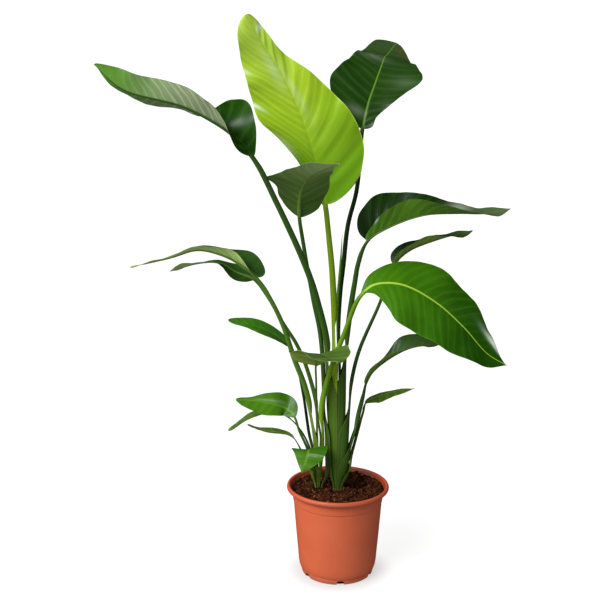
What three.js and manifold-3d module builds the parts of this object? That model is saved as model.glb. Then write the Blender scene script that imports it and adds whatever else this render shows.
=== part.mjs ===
// Potted bird of paradise: a plastic nursery pot, its soil and the two leaf fans that grow from it.
// Millimetres, +Z up. The pot axis is the Z axis and its base plate lies on z = 0.
import * as THREE from "three";
import Module from "manifold-3d";

const wasm = await Module();
wasm.setup();

const DEGREE = Math.PI / 180;
const LEFT = -1;
const RIGHT = 1;

// Colours
const POT_COLOUR = 0xc5623f;
const SOIL_COLOUR = 0x3e2114;
const LIME_GREEN = 0x9ccb23;
const BRIGHT_GREEN = 0x4f8f22;
const MIDDLE_GREEN = 0x3a7328;
const DARK_GREEN = 0x22521f;
const OLIVE_GREEN = 0x55702f;

// Pot, as [radius, height] pairs up the outside, over the rim and down the inside
const POT_SEGMENTS = 36;
const POT_HEIGHT = 217;
const FLOOR_THICKNESS = 2.4;
const POT_PROFILE = [
  [0, 0],
  [82, 0],
  [84, 1.8],
  [85.8, 11],
  [85.4, 12.6],
  [87.6, 14.2],
  [90, 21],
  [91.8, 32],
  [97.6, 100],
  [103.2, 171],
  [103.6, 178],
  [104.7, 181],
  [106.6, 203],
  [108.4, 205.6],
  [117.2, 205.6],
  [119.6, 208.2],
  [120, 211.6],
  [118.6, 215.4],
  [115.6, POT_HEIGHT],
  [112.8, 215.8],
  [111.2, 212.6],
  [109.4, 207.4],
  [105.2, 201.4],
  [89.4, 29],
  [82.4, FLOOR_THICKNESS],
  [0, FLOOR_THICKNESS],
];
const NOTCH_COUNT = 6;
const NOTCH_START_DEGREES = -87;
const NOTCH_WIDTH = 17;
const NOTCH_HEIGHT = 10.5;
const NOTCH_INNER_RADIUS = 76;
const NOTCH_OUTER_RADIUS = 96;

// Soil
const SOIL_SEGMENTS = 36;
const SOIL_BOTTOM = FLOOR_THICKNESS + 0.3;
const SOIL_SHOULDER_HEIGHT = 29;
const SOIL_NECK_HEIGHT = 200.4;
const SOIL_EDGE_HEIGHT = 206;
const SOIL_RINGS = [14, 28, 42, 56, 70, 84, 97];
const SOIL_EDGE_RADIUS = 107.8;
const SOIL_NECK_RADIUS = 104;
const SOIL_SHOULDER_RADIUS = 88.8;
const SOIL_FLOOR_RADIUS = 81.6;
const SOIL_HEIGHT = 207;
const LARGE_LUMPS = { height: 2.2, x: 9, y: 11 };
const SMALL_LUMPS = { height: 1.4, length: 13 };
const HOLLOW = { x: 54, y: 12, radius: 24, depth: 14 };

// Leaf fans: centre, and the hole in the soil that each one stands in
const FOOT_HEIGHT = 168;
const NARROW_HEIGHT = 204;
const FULL_SPREAD_HEIGHT = 262;
const FOOT_SPREAD = 0.38;
const FAN_HEIGHTS = [FOOT_HEIGHT, NARROW_HEIGHT, 220, 240, FULL_SPREAD_HEIGHT];
const MAIN_FAN = { x: -3, y: -8, core: 9, step: 6, breadth: 9, breadthStep: 2.8 };
const SIDE_FAN = { x: -45, y: 0, core: 5.5, step: 3.15, breadth: 5.5, breadthStep: 2.6 };
const WIDEST_RANK = 3;
const OUTER_CLASP = 0.4;
const STALK_DEPTH = 1.85;
const RIB_RUN = 45;
const OUTER_STEP = 1.7;
const SHEATH_HEIGHTS = [
  ...FAN_HEIGHTS, 280, 300, 325, 355, 390, 430, 470, 510, 550, 590,
];
const HOLE_HEIGHT = FOOT_HEIGHT - 0.4;
const HOLE_CORNERS = 20;
const MAIN_HOLE = { across: 20, along: 12, shift: 5 };
const SIDE_HOLE = { across: 18, along: 10, shift: -4 };
const MARGIN_GAP = 0.5;
const EDGE = 1.3;
const THINNEST_EDGE = 0.65;
const STALK_RING_SPACING = 75;
const STATION_CROWDING = 1.5;
const ROW_CROWDING = 1.4;
const FIRST_ROW = 0.005;
const BASE_ROUNDING = 0.05;
const TIP_ROUNDING = 0.14;

const smooth = (t) => {
  const c = Math.min(1, Math.max(0, t));
  return c * c * (3 - 2 * c);
};
const mix = (a, b, t) => a + (b - a) * t;
const vector = ([x, y, z]) => new THREE.Vector3(x, y, z);
const UPWARD = vector([0, 0, 1]);

/** Interval and eased share of t in it, for evenly spaced stations from 0 to 1. */
function place(count, t) {
  const at = Math.min(1, Math.max(0, t)) * (count - 1);
  const index = Math.min(count - 2, Math.floor(at));
  return { index, share: smooth(at - index) };
}

/** Value at t of a smooth line through evenly spaced values. */
function through(values, t) {
  const { index, share } = place(values.length, t);
  return mix(values[index], values[index + 1], share);
}

/** Value at t of a rounded curve through evenly spaced values. */
function curved(values, t) {
  const at = Math.min(1, Math.max(0, t)) * (values.length - 1);
  const i = Math.min(values.length - 2, Math.floor(at));
  const s = at - i;
  const before = values[i - 1] ?? 2 * values[i] - values[i + 1];
  const after = values[i + 2] ?? 2 * values[i + 1] - values[i];
  const rise = (values[i + 1] - before) / 2;
  const fall = (after - values[i]) / 2;
  const step = values[i + 1] - values[i];
  return values[i] + s * (rise + s * (3 * step - 2 * rise - fall + s * (rise + fall - 2 * step)));
}

/** Solid from a list of points and a list of triangles. */
function solidFrom(points, triangles) {
  const mesh = new wasm.Mesh({
    numProp: 3,
    vertProperties: new Float32Array(points.flatMap((p) => [p.x, p.y, p.z])),
    triVerts: new Uint32Array(triangles.flat()),
  });
  return new wasm.Manifold(mesh);
}

/** Named three.js mesh with the triangles of a solid. */
function meshFrom(name, solid, colour, roughness) {
  const data = solid.getMesh();
  const geometry = new THREE.BufferGeometry();
  const positions = new Float32Array(data.numVert * 3);
  for (let i = 0; i < data.numVert; i += 1) {
    for (let k = 0; k < 3; k += 1) {
      positions[3 * i + k] = data.vertProperties[data.numProp * i + k];
    }
  }
  geometry.setAttribute("position", new THREE.BufferAttribute(positions, 3));
  geometry.setIndex(new THREE.BufferAttribute(new Uint32Array(data.triVerts), 1));
  geometry.computeVertexNormals();
  const mesh = new THREE.Mesh(geometry, new THREE.MeshStandardMaterial({ color: colour, roughness }));
  mesh.name = name;
  return mesh;
}

/** Solid between closed rings of equal point count, the first and last of them capped. */
function skinRings(rings) {
  const size = rings[0].length;
  const points = rings.flat();
  const triangles = [];
  for (let i = 0; i + 1 < rings.length; i += 1) {
    for (let j = 0; j < size; j += 1) {
      const a = i * size + j;
      const b = i * size + ((j + 1) % size);
      triangles.push([a, b, b + size]);
      triangles.push([a, b + size, a + size]);
    }
  }
  const last = (rings.length - 1) * size;
  for (let j = 0; 2 * j + 2 < size; j += 1) {
    const strip = [j, j + 1, size - 1 - j, size - 2 - j];
    const [a, b, c, d] = strip;
    triangles.push([a, c, b]);
    triangles.push([last + a, last + b, last + c]);
    if (b !== d) {
      triangles.push([b, c, d]);
      triangles.push([last + b, last + d, last + c]);
    }
  }
  return solidFrom(points, triangles);
}

/** Solid of revolution of [radius, height] pairs that start and end on the axis. */
function revolve(profile, segments) {
  const points = [vector([0, 0, profile[0][1]])];
  const rings = profile.slice(1, -1);
  for (const [radius, height] of rings) {
    for (let j = 0; j < segments; j += 1) {
      const angle = (j / segments) * 2 * Math.PI;
      points.push(vector([radius * Math.cos(angle), radius * Math.sin(angle), height]));
    }
  }
  points.push(vector([0, 0, profile[profile.length - 1][1]]));
  const triangles = [];
  const end = points.length - 1;
  for (let j = 0; j < segments; j += 1) {
    const next = (j + 1) % segments;
    triangles.push([0, 1 + next, 1 + j]);
    const top = 1 + (rings.length - 1) * segments;
    triangles.push([end, top + j, top + next]);
    for (let i = 0; i + 1 < rings.length; i += 1) {
      const a = 1 + i * segments;
      triangles.push([a + j, a + next, a + segments + next]);
      triangles.push([a + j, a + segments + next, a + segments + j]);
    }
  }
  return solidFrom(points, triangles);
}

/** Upright prism over a polygon of [x, y] corners that run anticlockwise. */
function prism(corners, bottom, top) {
  const ring = (height) => corners.map(([x, y]) => vector([x, y, height]));
  return skinRings([ring(bottom), ring(top)]);
}

/** Block that cuts one drainage notch out of the edge of the pot base. */
function notch(degrees) {
  const outward = new THREE.Vector2(Math.cos(degrees * DEGREE), Math.sin(degrees * DEGREE));
  const corner = (radius, side) => [
    outward.x * radius - outward.y * side,
    outward.y * radius + outward.x * side,
  ];
  const half = NOTCH_WIDTH / 2;
  const corners = [
    corner(NOTCH_INNER_RADIUS, -half),
    corner(NOTCH_OUTER_RADIUS, -half),
    corner(NOTCH_OUTER_RADIUS, half),
    corner(NOTCH_INNER_RADIUS, half),
  ];
  return prism(corners, -NOTCH_HEIGHT, NOTCH_HEIGHT);
}

/** Thin-walled pot with a rolled rim, a stacking step, a foot groove and notches round its base. */
function buildPot() {
  let pot = revolve(POT_PROFILE, POT_SEGMENTS);
  for (let i = 0; i < NOTCH_COUNT; i += 1) {
    pot = pot.subtract(notch(NOTCH_START_DEGREES + (i * 360) / NOTCH_COUNT));
  }
  return meshFrom("pot", pot, POT_COLOUR, 0.5);
}

/** Height of the lumpy soil surface. */
function soilHeight(x, y) {
  const large = LARGE_LUMPS.height * Math.sin(x / LARGE_LUMPS.x + 1.3) * Math.cos(y / LARGE_LUMPS.y - 0.4);
  const small = SMALL_LUMPS.height * Math.sin((x + 2 * y) / SMALL_LUMPS.length + 2.1);
  const away = Math.hypot(x - HOLLOW.x, y - HOLLOW.y) / HOLLOW.radius;
  return SOIL_HEIGHT + large + small - HOLLOW.depth * (1 - smooth(away));
}

/** Oval hole in the soil round the foot of a fan. */
function fanHole(fan, { across, along, shift }) {
  const corners = [];
  for (let j = 0; j < HOLE_CORNERS; j += 1) {
    const angle = (j / HOLE_CORNERS) * 2 * Math.PI;
    corners.push([fan.x + shift + across * Math.cos(angle), fan.y + along * Math.sin(angle)]);
  }
  return prism(corners, HOLE_HEIGHT, POT_HEIGHT);
}

/** Soil that fills the pot, with a hollow at the front right and an oval hole for each fan. */
function buildSoil() {
  const points = [vector([0, 0, soilHeight(0, 0)])];
  const ring = (radius, height) => {
    for (let j = 0; j < SOIL_SEGMENTS; j += 1) {
      const angle = (j / SOIL_SEGMENTS) * 2 * Math.PI;
      const x = radius * Math.cos(angle);
      const y = radius * Math.sin(angle);
      points.push(vector([x, y, height(x, y)]));
    }
  };
  for (const radius of SOIL_RINGS) {
    ring(radius, soilHeight);
  }
  ring(SOIL_EDGE_RADIUS, () => SOIL_EDGE_HEIGHT);
  ring(SOIL_NECK_RADIUS, () => SOIL_NECK_HEIGHT);
  ring(SOIL_SHOULDER_RADIUS, () => SOIL_SHOULDER_HEIGHT);
  ring(SOIL_FLOOR_RADIUS, () => SOIL_BOTTOM);
  points.push(vector([0, 0, SOIL_BOTTOM]));
  const end = points.length - 1;
  const ringCount = SOIL_RINGS.length + 4;
  const triangles = [];
  for (let j = 0; j < SOIL_SEGMENTS; j += 1) {
    const next = (j + 1) % SOIL_SEGMENTS;
    triangles.push([0, 1 + j, 1 + next]);
    const low = 1 + (ringCount - 1) * SOIL_SEGMENTS;
    triangles.push([end, low + next, low + j]);
    for (let i = 0; i + 1 < ringCount; i += 1) {
      const a = 1 + i * SOIL_SEGMENTS;
      triangles.push([a + j, a + SOIL_SEGMENTS + j, a + SOIL_SEGMENTS + next]);
      triangles.push([a + j, a + SOIL_SEGMENTS + next, a + next]);
    }
  }
  let soil = solidFrom(points, triangles);
  soil = soil.subtract(fanHole(MAIN_FAN, MAIN_HOLE));
  soil = soil.subtract(fanHole(SIDE_FAN, SIDE_HOLE));
  return meshFrom("soil", soil, SOIL_COLOUR, 0.95);
}

/** How far a fan has opened at a height: narrow at its foot, full width above the rim. */
function spreadAt(height) {
  const t = (height - NARROW_HEIGHT) / (FULL_SPREAD_HEIGHT - NARROW_HEIGHT);
  return mix(FOOT_SPREAD, 1, smooth(t));
}

/** Line of a leaf from its foot to its tip, with the direction its upper face looks in. */
class LeafLine {
  constructor(spec) {
    const { fan, side, rank, stalk, midrib } = spec;
    this.side = side;
    this.reach = fan.core + fan.step * rank;
    const sheath = FAN_HEIGHTS.map((height) =>
      vector([fan.x + side * this.reach * spreadAt(height), fan.y, height]),
    );
    const knots = [...sheath, ...stalk.map(vector), ...midrib.map(vector)];
    this.curve = new THREE.CatmullRomCurve3(knots, false, "centripetal");
    this.curve.arcLengthDivisions = 40 * (knots.length - 1);
    const lengths = this.curve.getLengths();
    this.total = lengths[lengths.length - 1];
    this.base = lengths[40 * (sheath.length + stalk.length - 1)];
    this.blade = this.total - this.base;
    this.sheath = spec.sheath;
    this.sheathEnd = this.distanceAt(spec.sheath[1]);
    this.footFace = vector([-side, 0, 0]);
    this.faces = spec.faces.map(vector);
  }

  /** Distance from the foot at which the stalk reaches a height. */
  distanceAt(height) {
    let low = 0;
    let high = this.base;
    for (let i = 0; i < 24; i += 1) {
      const middle = (low + high) / 2;
      if (this.curve.getPointAt(middle / this.total).z < height) {
        low = middle;
      } else {
        high = middle;
      }
    }
    return low;
  }

  /** How far the sheath has closed at a height: 0 where it opens, 1 where it is a round stalk. */
  closedAt(height) {
    return Math.min(1, Math.max(0, (height - this.sheath[0]) / (this.sheath[1] - this.sheath[0])));
  }

  /** Direction the upper face looks in at a distance from the foot. */
  faceAt(distance) {
    if (distance < this.base) {
      const turn = smooth((distance - this.sheathEnd) / (this.base - this.sheathEnd));
      return this.footFace.clone().lerp(this.faces[0], turn);
    }
    const { index, share } = place(this.faces.length, (distance - this.base) / this.blade);
    return this.faces[index].clone().lerp(this.faces[index + 1], share);
  }

  /** Frame at a distance from the foot: point, tangent, upper-face normal and right-hand side. */
  frame(distance) {
    const along = Math.min(this.total, Math.max(0, distance)) / this.total;
    const point = this.curve.getPointAt(along);
    const tangent = this.curve.getTangentAt(along).normalize();
    tangent.lerp(UPWARD, 1 - smooth(this.closedAt(point.z))).normalize();
    const up = this.faceAt(distance);
    up.addScaledVector(tangent, -up.dot(tangent)).normalize();
    const right = new THREE.Vector3().crossVectors(tangent, up);
    return { point, tangent, up, right };
  }
}

/** Ring of a stalk: a crescent whose back lies on the line and whose open side faces the fan. */
function stalkRing(frame, half, depth, thickness, edge) {
  const corner = (across, up) =>
    frame.point.clone().addScaledVector(frame.right, across).addScaledVector(frame.up, up);
  const angles = [-90, -36, 36, 90].map((degrees) => degrees * DEGREE);
  const outer = angles.map((a) => corner(half * Math.sin(a), depth * (1 - Math.cos(a))));
  const inner = angles.map((a) =>
    corner((half - edge) * Math.sin(a), thickness + (depth - thickness) * (1 - Math.cos(a))),
  );
  return [...inner, ...outer.reverse()];
}

/** Sheath, stalk and midrib of a leaf as one solid. */
function buildStalk(line, spec) {
  const { fan, rank, stem } = spec;
  const innerRanks = Math.min(rank, WIDEST_RANK);
  const openHalf = fan.breadth + fan.breadthStep * innerRanks + OUTER_STEP * (rank - innerRanks);
  const openThickness = fan.step * 0.65;
  const stalkHalf = stem / 2;
  const distances = SHEATH_HEIGHTS.map((height) => line.distanceAt(height)).filter(
    (distance) => distance < Math.min(line.sheathEnd + 20, line.base - 20),
  );
  const above = line.base - distances[distances.length - 1];
  const stalkRings = Math.max(2, Math.round(above / STALK_RING_SPACING));
  for (let i = stalkRings - 1; i >= 0; i -= 1) {
    distances.push(line.base - (above * i) / stalkRings);
  }
  const ribRings = Math.max(4, Math.round(line.blade / 55));
  for (let i = 1; i <= ribRings; i += 1) {
    distances.push(line.base + line.blade * 0.9 * (i / ribRings));
  }
  const sections = distances.map((distance) => {
    const frame = line.frame(distance);
    if (distance > line.base) {
      const t = ((distance - line.base) / (0.9 * line.blade)) ** 0.8;
      const half = mix(stalkHalf, 0.9, t);
      const rise = mix(ribHeight(spec), 1.2, t);
      return stalkRing(frame, half, rise * mix(0.5, 0.8, t), rise, 0.2 * half);
    }
    const height = frame.point.z;
    const spread = spreadAt(height);
    const closed = line.closedAt(height);
    const parting = smooth(2 * closed);
    const rounding = smooth(2 * closed - 1);
    const thinning = smooth((distance - line.sheathEnd) / (line.base - line.sheathEnd));
    const wide = mix(1.3 * stalkHalf, stalkHalf, thinning);
    const settling = smooth((distance - line.base + RIB_RUN) / RIB_RUN);
    const deep = mix(STALK_DEPTH * wide, ribHeight(spec), settling);
    const { clasp = rank > WIDEST_RANK ? OUTER_CLASP : 1 } = spec;
    const openDepth = clasp * (line.side * (frame.point.x - fan.x) - MARGIN_GAP);
    const openEdge = Math.max(THINNEST_EDGE, EDGE * spread);
    const half = mix(openHalf * spread, wide, rounding);
    const depth = mix(openDepth, 0.5 * deep, parting);
    const thickness = mix(openThickness * spread, deep, rounding);
    return stalkRing(frame, half, depth, thickness, mix(openEdge, 0.2 * wide, rounding));
  });
  return skinRings(sections);
}

/** Height of the midrib under the blade where the blade begins. */
function ribHeight(spec) {
  return 0.62 * spec.stem;
}

/** Share of the full width near the rounded base and tip of a blade. */
function endShare(v) {
  const base = Math.max(0, 1 - v / BASE_ROUNDING);
  const tip = Math.max(0, (v - 1 + TIP_ROUNDING) / TIP_ROUNDING);
  return { base: Math.sqrt(1 - base * base), tip: Math.sqrt(Math.max(0, 1 - tip * tip)) };
}

/** Point of the blade on the vein that starts at v on the midrib, u of the way to the margin. */
function bladePoint(line, spec, side, u, v) {
  const half = side === LEFT ? spec.left : spec.right;
  const { lobe = 0.03, sweep = 0.78 } = half;
  const share = endShare(v);
  const forward = line.blade * mix(v, (1 + lobe) * v ** sweep - lobe, u * share.base);
  const wide = Math.max(...half.widths);
  const across = curved(half.widths, v ** (1 / STATION_CROWDING)) * share.base * share.tip * u;
  const frame = line.frame(line.base + Math.max(0, forward));
  frame.point.addScaledVector(frame.tangent, Math.min(0, forward));
  const t = Math.min(1, Math.max(0, forward / line.blade));
  const fold = through(half.fold, t) * DEGREE;
  const curl = through(half.curl, t) * DEGREE;
  const bend = Math.abs(curl) < 1e-3 ? 1e-3 : curl;
  const slope = fold + (bend * across) / wide;
  const out = (wide / bend) * (Math.sin(slope) - Math.sin(fold));
  let rise = (wide / bend) * (Math.cos(fold) - Math.cos(slope));
  const wave = half.wave * u * u * Math.sin(2 * Math.PI * spec.waves * v + side);
  const rib = mix(ribHeight(spec), 1.2, t ** 0.8) - 0.5;
  rise += rib;
  return frame.point
    .addScaledVector(frame.right, side * (out - wave * Math.sin(slope)))
    .addScaledVector(frame.up, rise + wave * Math.cos(slope));
}

/** Blade of a leaf as a closed sheet of even thickness. */
function buildBlade(line, spec) {
  const { rows, columns } = spec;
  const width = 2 * columns + 1;
  const middle = [];
  for (let i = 0; i < rows; i += 1) {
    for (let j = 0; j < width; j += 1) {
      const side = j < columns ? LEFT : RIGHT;
      const u = Math.abs(j - columns) / columns;
      middle.push(bladePoint(line, spec, side, u, mix(FIRST_ROW, 1, (i / rows) ** ROW_CROWDING)));
    }
  }
  middle.push(bladePoint(line, spec, RIGHT, 0, 1));
  const tip = middle.length - 1;
  const faces = [];
  for (let j = 0; j + 1 < width; j += 1) {
    for (let i = 0; i + 1 < rows; i += 1) {
      const a = i * width + j;
      faces.push([a, a + 1, a + width + 1]);
      faces.push([a, a + width + 1, a + width]);
    }
    const a = (rows - 1) * width + j;
    faces.push([a, a + 1, tip]);
  }
  const normals = middle.map(() => new THREE.Vector3());
  for (const [a, b, c] of faces) {
    const one = middle[b].clone().sub(middle[a]);
    const two = middle[c].clone().sub(middle[a]);
    const normal = one.cross(two);
    [a, b, c].forEach((k) => normals[k].add(normal));
  }
  const half = spec.thick / 2;
  const shift = (amount) =>
    middle.map((p, k) => p.clone().addScaledVector(normals[k].clone().normalize(), amount));
  const points = [...shift(half), ...shift(-half)];
  const count = middle.length;
  const loop = [];
  for (let j = 0; j < width; j += 1) {
    loop.push(j);
  }
  for (let i = 1; i < rows; i += 1) {
    loop.push(i * width + width - 1);
  }
  loop.push(tip);
  for (let i = rows - 1; i > 0; i -= 1) {
    loop.push(i * width);
  }
  const triangles = [];
  for (const [a, b, c] of faces) {
    triangles.push([a, b, c]);
    triangles.push([a + count, c + count, b + count]);
  }
  loop.forEach((a, k) => {
    const b = loop[(k + 1) % loop.length];
    triangles.push([a, a + count, b + count]);
    triangles.push([a, b + count, b]);
  });
  return solidFrom(points, triangles);
}

/** One leaf: sheath, stalk, midrib and blade in a single solid. */
function buildLeaf(spec) {
  const line = new LeafLine(spec);
  const pieces = buildStalk(line, spec).add(buildBlade(line, spec)).decompose();
  const [leaf] = pieces.sort((a, b) => b.volume() - a.volume());
  return meshFrom(spec.name, leaf, spec.colour, 0.45);
}

const LARGE = { rows: 12, columns: 3, thick: 0.9, waves: 4 };
const MEDIUM = { rows: 9, columns: 3, thick: 0.8, waves: 3 };
const SMALL = { rows: 7, columns: 2, thick: 0.8, waves: 2 };

// Leaves: knots of the stalk up to the blade, knots of the midrib to the tip, and the
// directions the upper face looks in, evenly spaced from the base to the tip of the blade.
// Fold and curl of each half are degrees towards the upper face, evenly spaced likewise.
const LEAVES = [
  {
    ...LARGE,
    name: "leaf_upper_left",
    fan: MAIN_FAN,
    side: LEFT,
    rank: 1,
    sheath: [430, 560],
    stem: 12.5,
    stalk: [
      [-21.5, -7, 319], [-27.5, -4, 406.5], [-30.5, -3.5, 503], [-36, -12, 566.5],
      [-53, -26, 643.5], [-78, -50, 730], [-143, -105, 889], [-194, -140, 994],
    ],
    midrib: [[-234, -150, 1036], [-321, -150, 1088], [-455, -135, 1128], [-510, -130, 1177]],
    faces: [[0.6, -0.6, 0.5], [0.2, 0.55, 0.8], [0.1, 0.8, 0.6], [0, 0.5, 0.85]],
    left: {
      widths: [8, 22, 34, 44, 46, 42, 39, 35, 12],
      fold: [-10, 10, 35, 45], curl: [-20, 0, 0, 0], wave: 2,
    },
    right: {
      widths: [3, 16, 50, 80, 66, 52, 42, 28, 8],
      sweep: 0.95, lobe: 0.04, fold: [84, 84, 72, 30, 30, 32, 28, 24, 20],
      curl: [-15, -10, 0, 0], wave: 2,
    },
    colour: DARK_GREEN,
  },
  {
    ...LARGE,
    name: "leaf_top_lime",
    fan: MAIN_FAN,
    side: LEFT,
    rank: 0,
    sheath: [500, 640],
    stem: 12,
    stalk: [
      [-14, -7, 319], [-15.5, -4, 406.5], [-17.5, -5, 484], [-16, -6.5, 561.5], [-22, -3, 702],
      [-29, -5, 830], [-34, -5, 876],
    ],
    midrib: [[-57, 0, 975], [-89, 10, 1071], [-136, 15, 1168], [-170, 15, 1219], [-205, 10, 1284]],
    faces: [[0.15, -0.95, 0.2], [0.1, -0.98, 0.1], [0.2, -0.95, 0.1]],
    left: {
      widths: [14, 26, 42, 64, 88, 82, 70, 48, 30],
      sweep: 0.62, fold: [10, 5, 0], curl: [-10, -10, -10], wave: 6,
    },
    right: {
      widths: [60, 92, 116, 109, 86, 60, 30, 22, 16],
      sweep: 0.68, lobe: 0.01, fold: [10, 5, 0], curl: [-20, -10, -10], wave: 4,
    },
    colour: LIME_GREEN,
  },
  {
    ...LARGE,
    name: "leaf_centre_front",
    fan: MAIN_FAN,
    side: LEFT,
    rank: 2,
    clasp: 0.4,
    sheath: [330, 450],
    stem: 9,
    stalk: [
      [-29.5, -7, 319], [-36.5, -2, 406.5], [-40.5, 1, 484], [-44, 2, 542], [-50, 2, 591],
      [-62, -1, 651], [-80, -20, 765], [-91, -40, 850],
    ],
    midrib: [[-89, -75, 901], [-78, -115, 934], [-56, -155, 957], [-8, -190, 980]],
    faces: [[0.2, 0.5, 0.85], [0, 0.3, 0.95], [0, 0.3, 0.95]],
    left: {
      widths: [24, 43, 56, 65, 65, 61, 50, 30, 0],
      lobe: 0.01, fold: [20, 20, 10], curl: [0, 0, 0], wave: 2,
    },
    right: {
      widths: [18, 37, 48, 54, 82, 58, 50, 33, 0],
      fold: [20, 10, 10], curl: [0, 0, 0], wave: 2,
    },
    colour: DARK_GREEN,
  },
  {
    ...LARGE,
    name: "leaf_upper_right",
    fan: MAIN_FAN,
    side: RIGHT,
    rank: 0,
    clasp: 0.75,
    sheath: [480, 620],
    stem: 9.5,
    stalk: [
      [5, -7, 319], [5, -2, 406.5], [5.5, 1, 465], [5.5, 8, 505], [4, 27, 567.5], [9, 39.5, 669],
      [16, 45, 733], [24, 50, 822], [41, 58, 901], [52, 70, 1040],
    ],
    midrib: [
      [64, 85, 1090], [81, 110, 1135], [96, 140, 1171], [107, 175, 1195], [115, 215, 1202],
      [140, 255, 1235],
    ],
    faces: [[0, -0.95, 0.3], [0, -0.8, 0.6], [0.1, -0.45, 0.9], [0.1, -0.9, 0.5]],
    left: {
      widths: [8, 56, 86, 100, 86, 72, 60, 50, 36],
      fold: [10, 10, 0, 0], curl: [0, 0, 0, 0], wave: 3,
    },
    right: {
      widths: [8, 22, 27, 48, 72, 100, 78, 54, 36],
      sweep: 0.98, fold: [0, -8, -5, 0], curl: [40, 30, 0, 0], wave: 1.5,
    },
    colour: DARK_GREEN,
  },
  {
    ...LARGE,
    name: "leaf_right_arching",
    fan: MAIN_FAN,
    side: RIGHT,
    rank: 1,
    sheath: [450, 590],
    stem: 11,
    stalk: [
      [14, -7, 319], [17, -2, 406.5], [17.5, 0.5, 467.5], [18.5, 2.5, 522.5], [23.5, 3.5, 561.5],
      [34, 4, 650], [40, 0, 695], [47, -5, 742], [65, -10, 793],
    ],
    midrib: [[110, -20, 825], [184, -30, 853], [257, -35, 858], [317, -35, 858], [374, -30, 869]],
    faces: [[-0.6, 0.1, 0.8], [0, 0.1, 1], [0, 0, 1], [0, -0.2, 1]],
    left: {
      widths: [34, 58, 78, 72, 54, 43, 28, 18, 6],
      lobe: 0.03, fold: [85, 60, 30, 20], curl: [0, 0, 0, 0], wave: 2,
    },
    right: {
      widths: [6, 16, 40, 49, 49, 40, 32, 23, 6],
      fold: [60, 50, 20, -20], curl: [0, 0, 0, 0], wave: 2,
    },
    colour: MIDDLE_GREEN,
  },
  {
    ...MEDIUM,
    name: "leaf_right_narrow",
    fan: MAIN_FAN,
    side: RIGHT,
    rank: 2,
    sheath: [330, 470],
    stem: 7.5,
    stalk: [
      [24, -7, 319], [27, 0.5, 387], [32, 10.5, 445], [50.5, 21, 528.5], [97, 36.5, 638.5],
      [131, 45, 731],
    ],
    midrib: [[161, 50, 760], [223, 60, 784], [309, 70, 807]],
    faces: [[-0.4, 0.1, 0.9], [0, 0.1, 1], [0, 0, 1]],
    left: {
      widths: [13, 24, 24, 22, 17, 14, 6],
      fold: [60, 30, 10], curl: [0, 0, 0], wave: 2,
    },
    right: {
      widths: [4, 15, 21, 24, 20, 15, 6],
      fold: [40, 40, -60], curl: [0, 0, 0], wave: 2,
    },
    colour: MIDDLE_GREEN,
  },
  {
    ...LARGE,
    name: "leaf_right_broad",
    fan: SIDE_FAN,
    side: RIGHT,
    rank: 1,
    sheath: [270, 400],
    stem: 10.5,
    stalk: [
      [-33.5, -0.5, 289.5], [-32.5, -11.5, 333.5], [-34.5, -18.5, 387], [-30.5, -23.5, 432.5],
      [-12.5, -24, 505], [13, -30.5, 584], [36, -45.5, 657], [54, -60, 687],
    ],
    midrib: [
      [79, -70, 705], [133, -90, 708], [202, -110, 675], [262, -125, 624], [315, -135, 567],
      [357, -140, 543],
    ],
    faces: [[0.1, -0.6, 0.75], [0.3, -0.65, 0.7], [0.5, -0.6, 0.6]],
    left: {
      widths: [4, 7, 54, 94, 101, 89, 73, 48, 6],
      lobe: 0.1, fold: [0, 5, 0], curl: [-20, -20, -10], wave: 3,
    },
    right: {
      widths: [8, 30, 66, 96, 97, 88, 73, 42, 6],
      lobe: 0, fold: [0, 5, 0], curl: [-20, -20, -10], wave: 3,
    },
    colour: BRIGHT_GREEN,
  },
  {
    ...MEDIUM,
    name: "leaf_right_low",
    fan: MAIN_FAN,
    side: RIGHT,
    rank: 3,
    sheath: [250, 390],
    stem: 9,
    stalk: [[31.5, -7.5, 314], [43.5, -9.5, 356], [59, -11, 426.5], [65, -15, 465.5]],
    midrib: [[79, -5, 488], [123, -15, 528], [166, -25, 552], [230, -40, 564]],
    faces: [[-0.5, 0.1, 0.85], [-0.3, 0.1, 0.95], [0, 0, 1]],
    left: {
      widths: [3, 4, 6, 20, 38, 35, 6],
      fold: [50, 50, 20], curl: [0, 0, 0], wave: 2,
    },
    right: {
      widths: [3, 8, 15, 21, 24, 18, 6],
      fold: [60, 20, 0], curl: [0, 0, 0], wave: 2,
    },
    colour: MIDDLE_GREEN,
  },
  {
    ...SMALL,
    name: "leaf_right_lowest",
    fan: MAIN_FAN,
    side: RIGHT,
    rank: 4,
    clasp: 0.2,
    sheath: [238, 285],
    stem: 6,
    stalk: [
      [34.5, -6, 289.5], [42.5, 0, 319], [50.5, 4.5, 350], [58.5, 3.5, 387], [63.5, -1.5, 412],
    ],
    midrib: [[88, 8, 424], [128, -12, 445], [172, -35, 460]],
    faces: [[-0.2, 0.4, 0.9], [-0.1, 0.4, 0.9], [0, 0.2, 1]],
    left: {
      widths: [3, 9, 16, 19, 10, 6],
      fold: [40, 20, 0], curl: [0, 0, 0], wave: 1,
    },
    right: {
      widths: [3, 25, 31, 28, 20, 6],
      fold: [-30, -40, -20], curl: [0, 0, 0], wave: 1,
    },
    colour: OLIVE_GREEN,
  },
  {
    ...MEDIUM,
    name: "leaf_left_long",
    fan: SIDE_FAN,
    side: LEFT,
    rank: 1,
    sheath: [300, 420],
    stem: 10.5,
    stalk: [
      [-57.5, 0.5, 310], [-64, -3, 365], [-84, -3.5, 454.5], [-107, -8, 518.5], [-134, -9.5, 604],
      [-163, -14.5, 667], [-192, -20, 715],
    ],
    midrib: [
      [-229, -30, 746], [-265, -40, 766], [-314, -50, 778], [-373, -60, 763], [-460, -70, 745],
    ],
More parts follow.
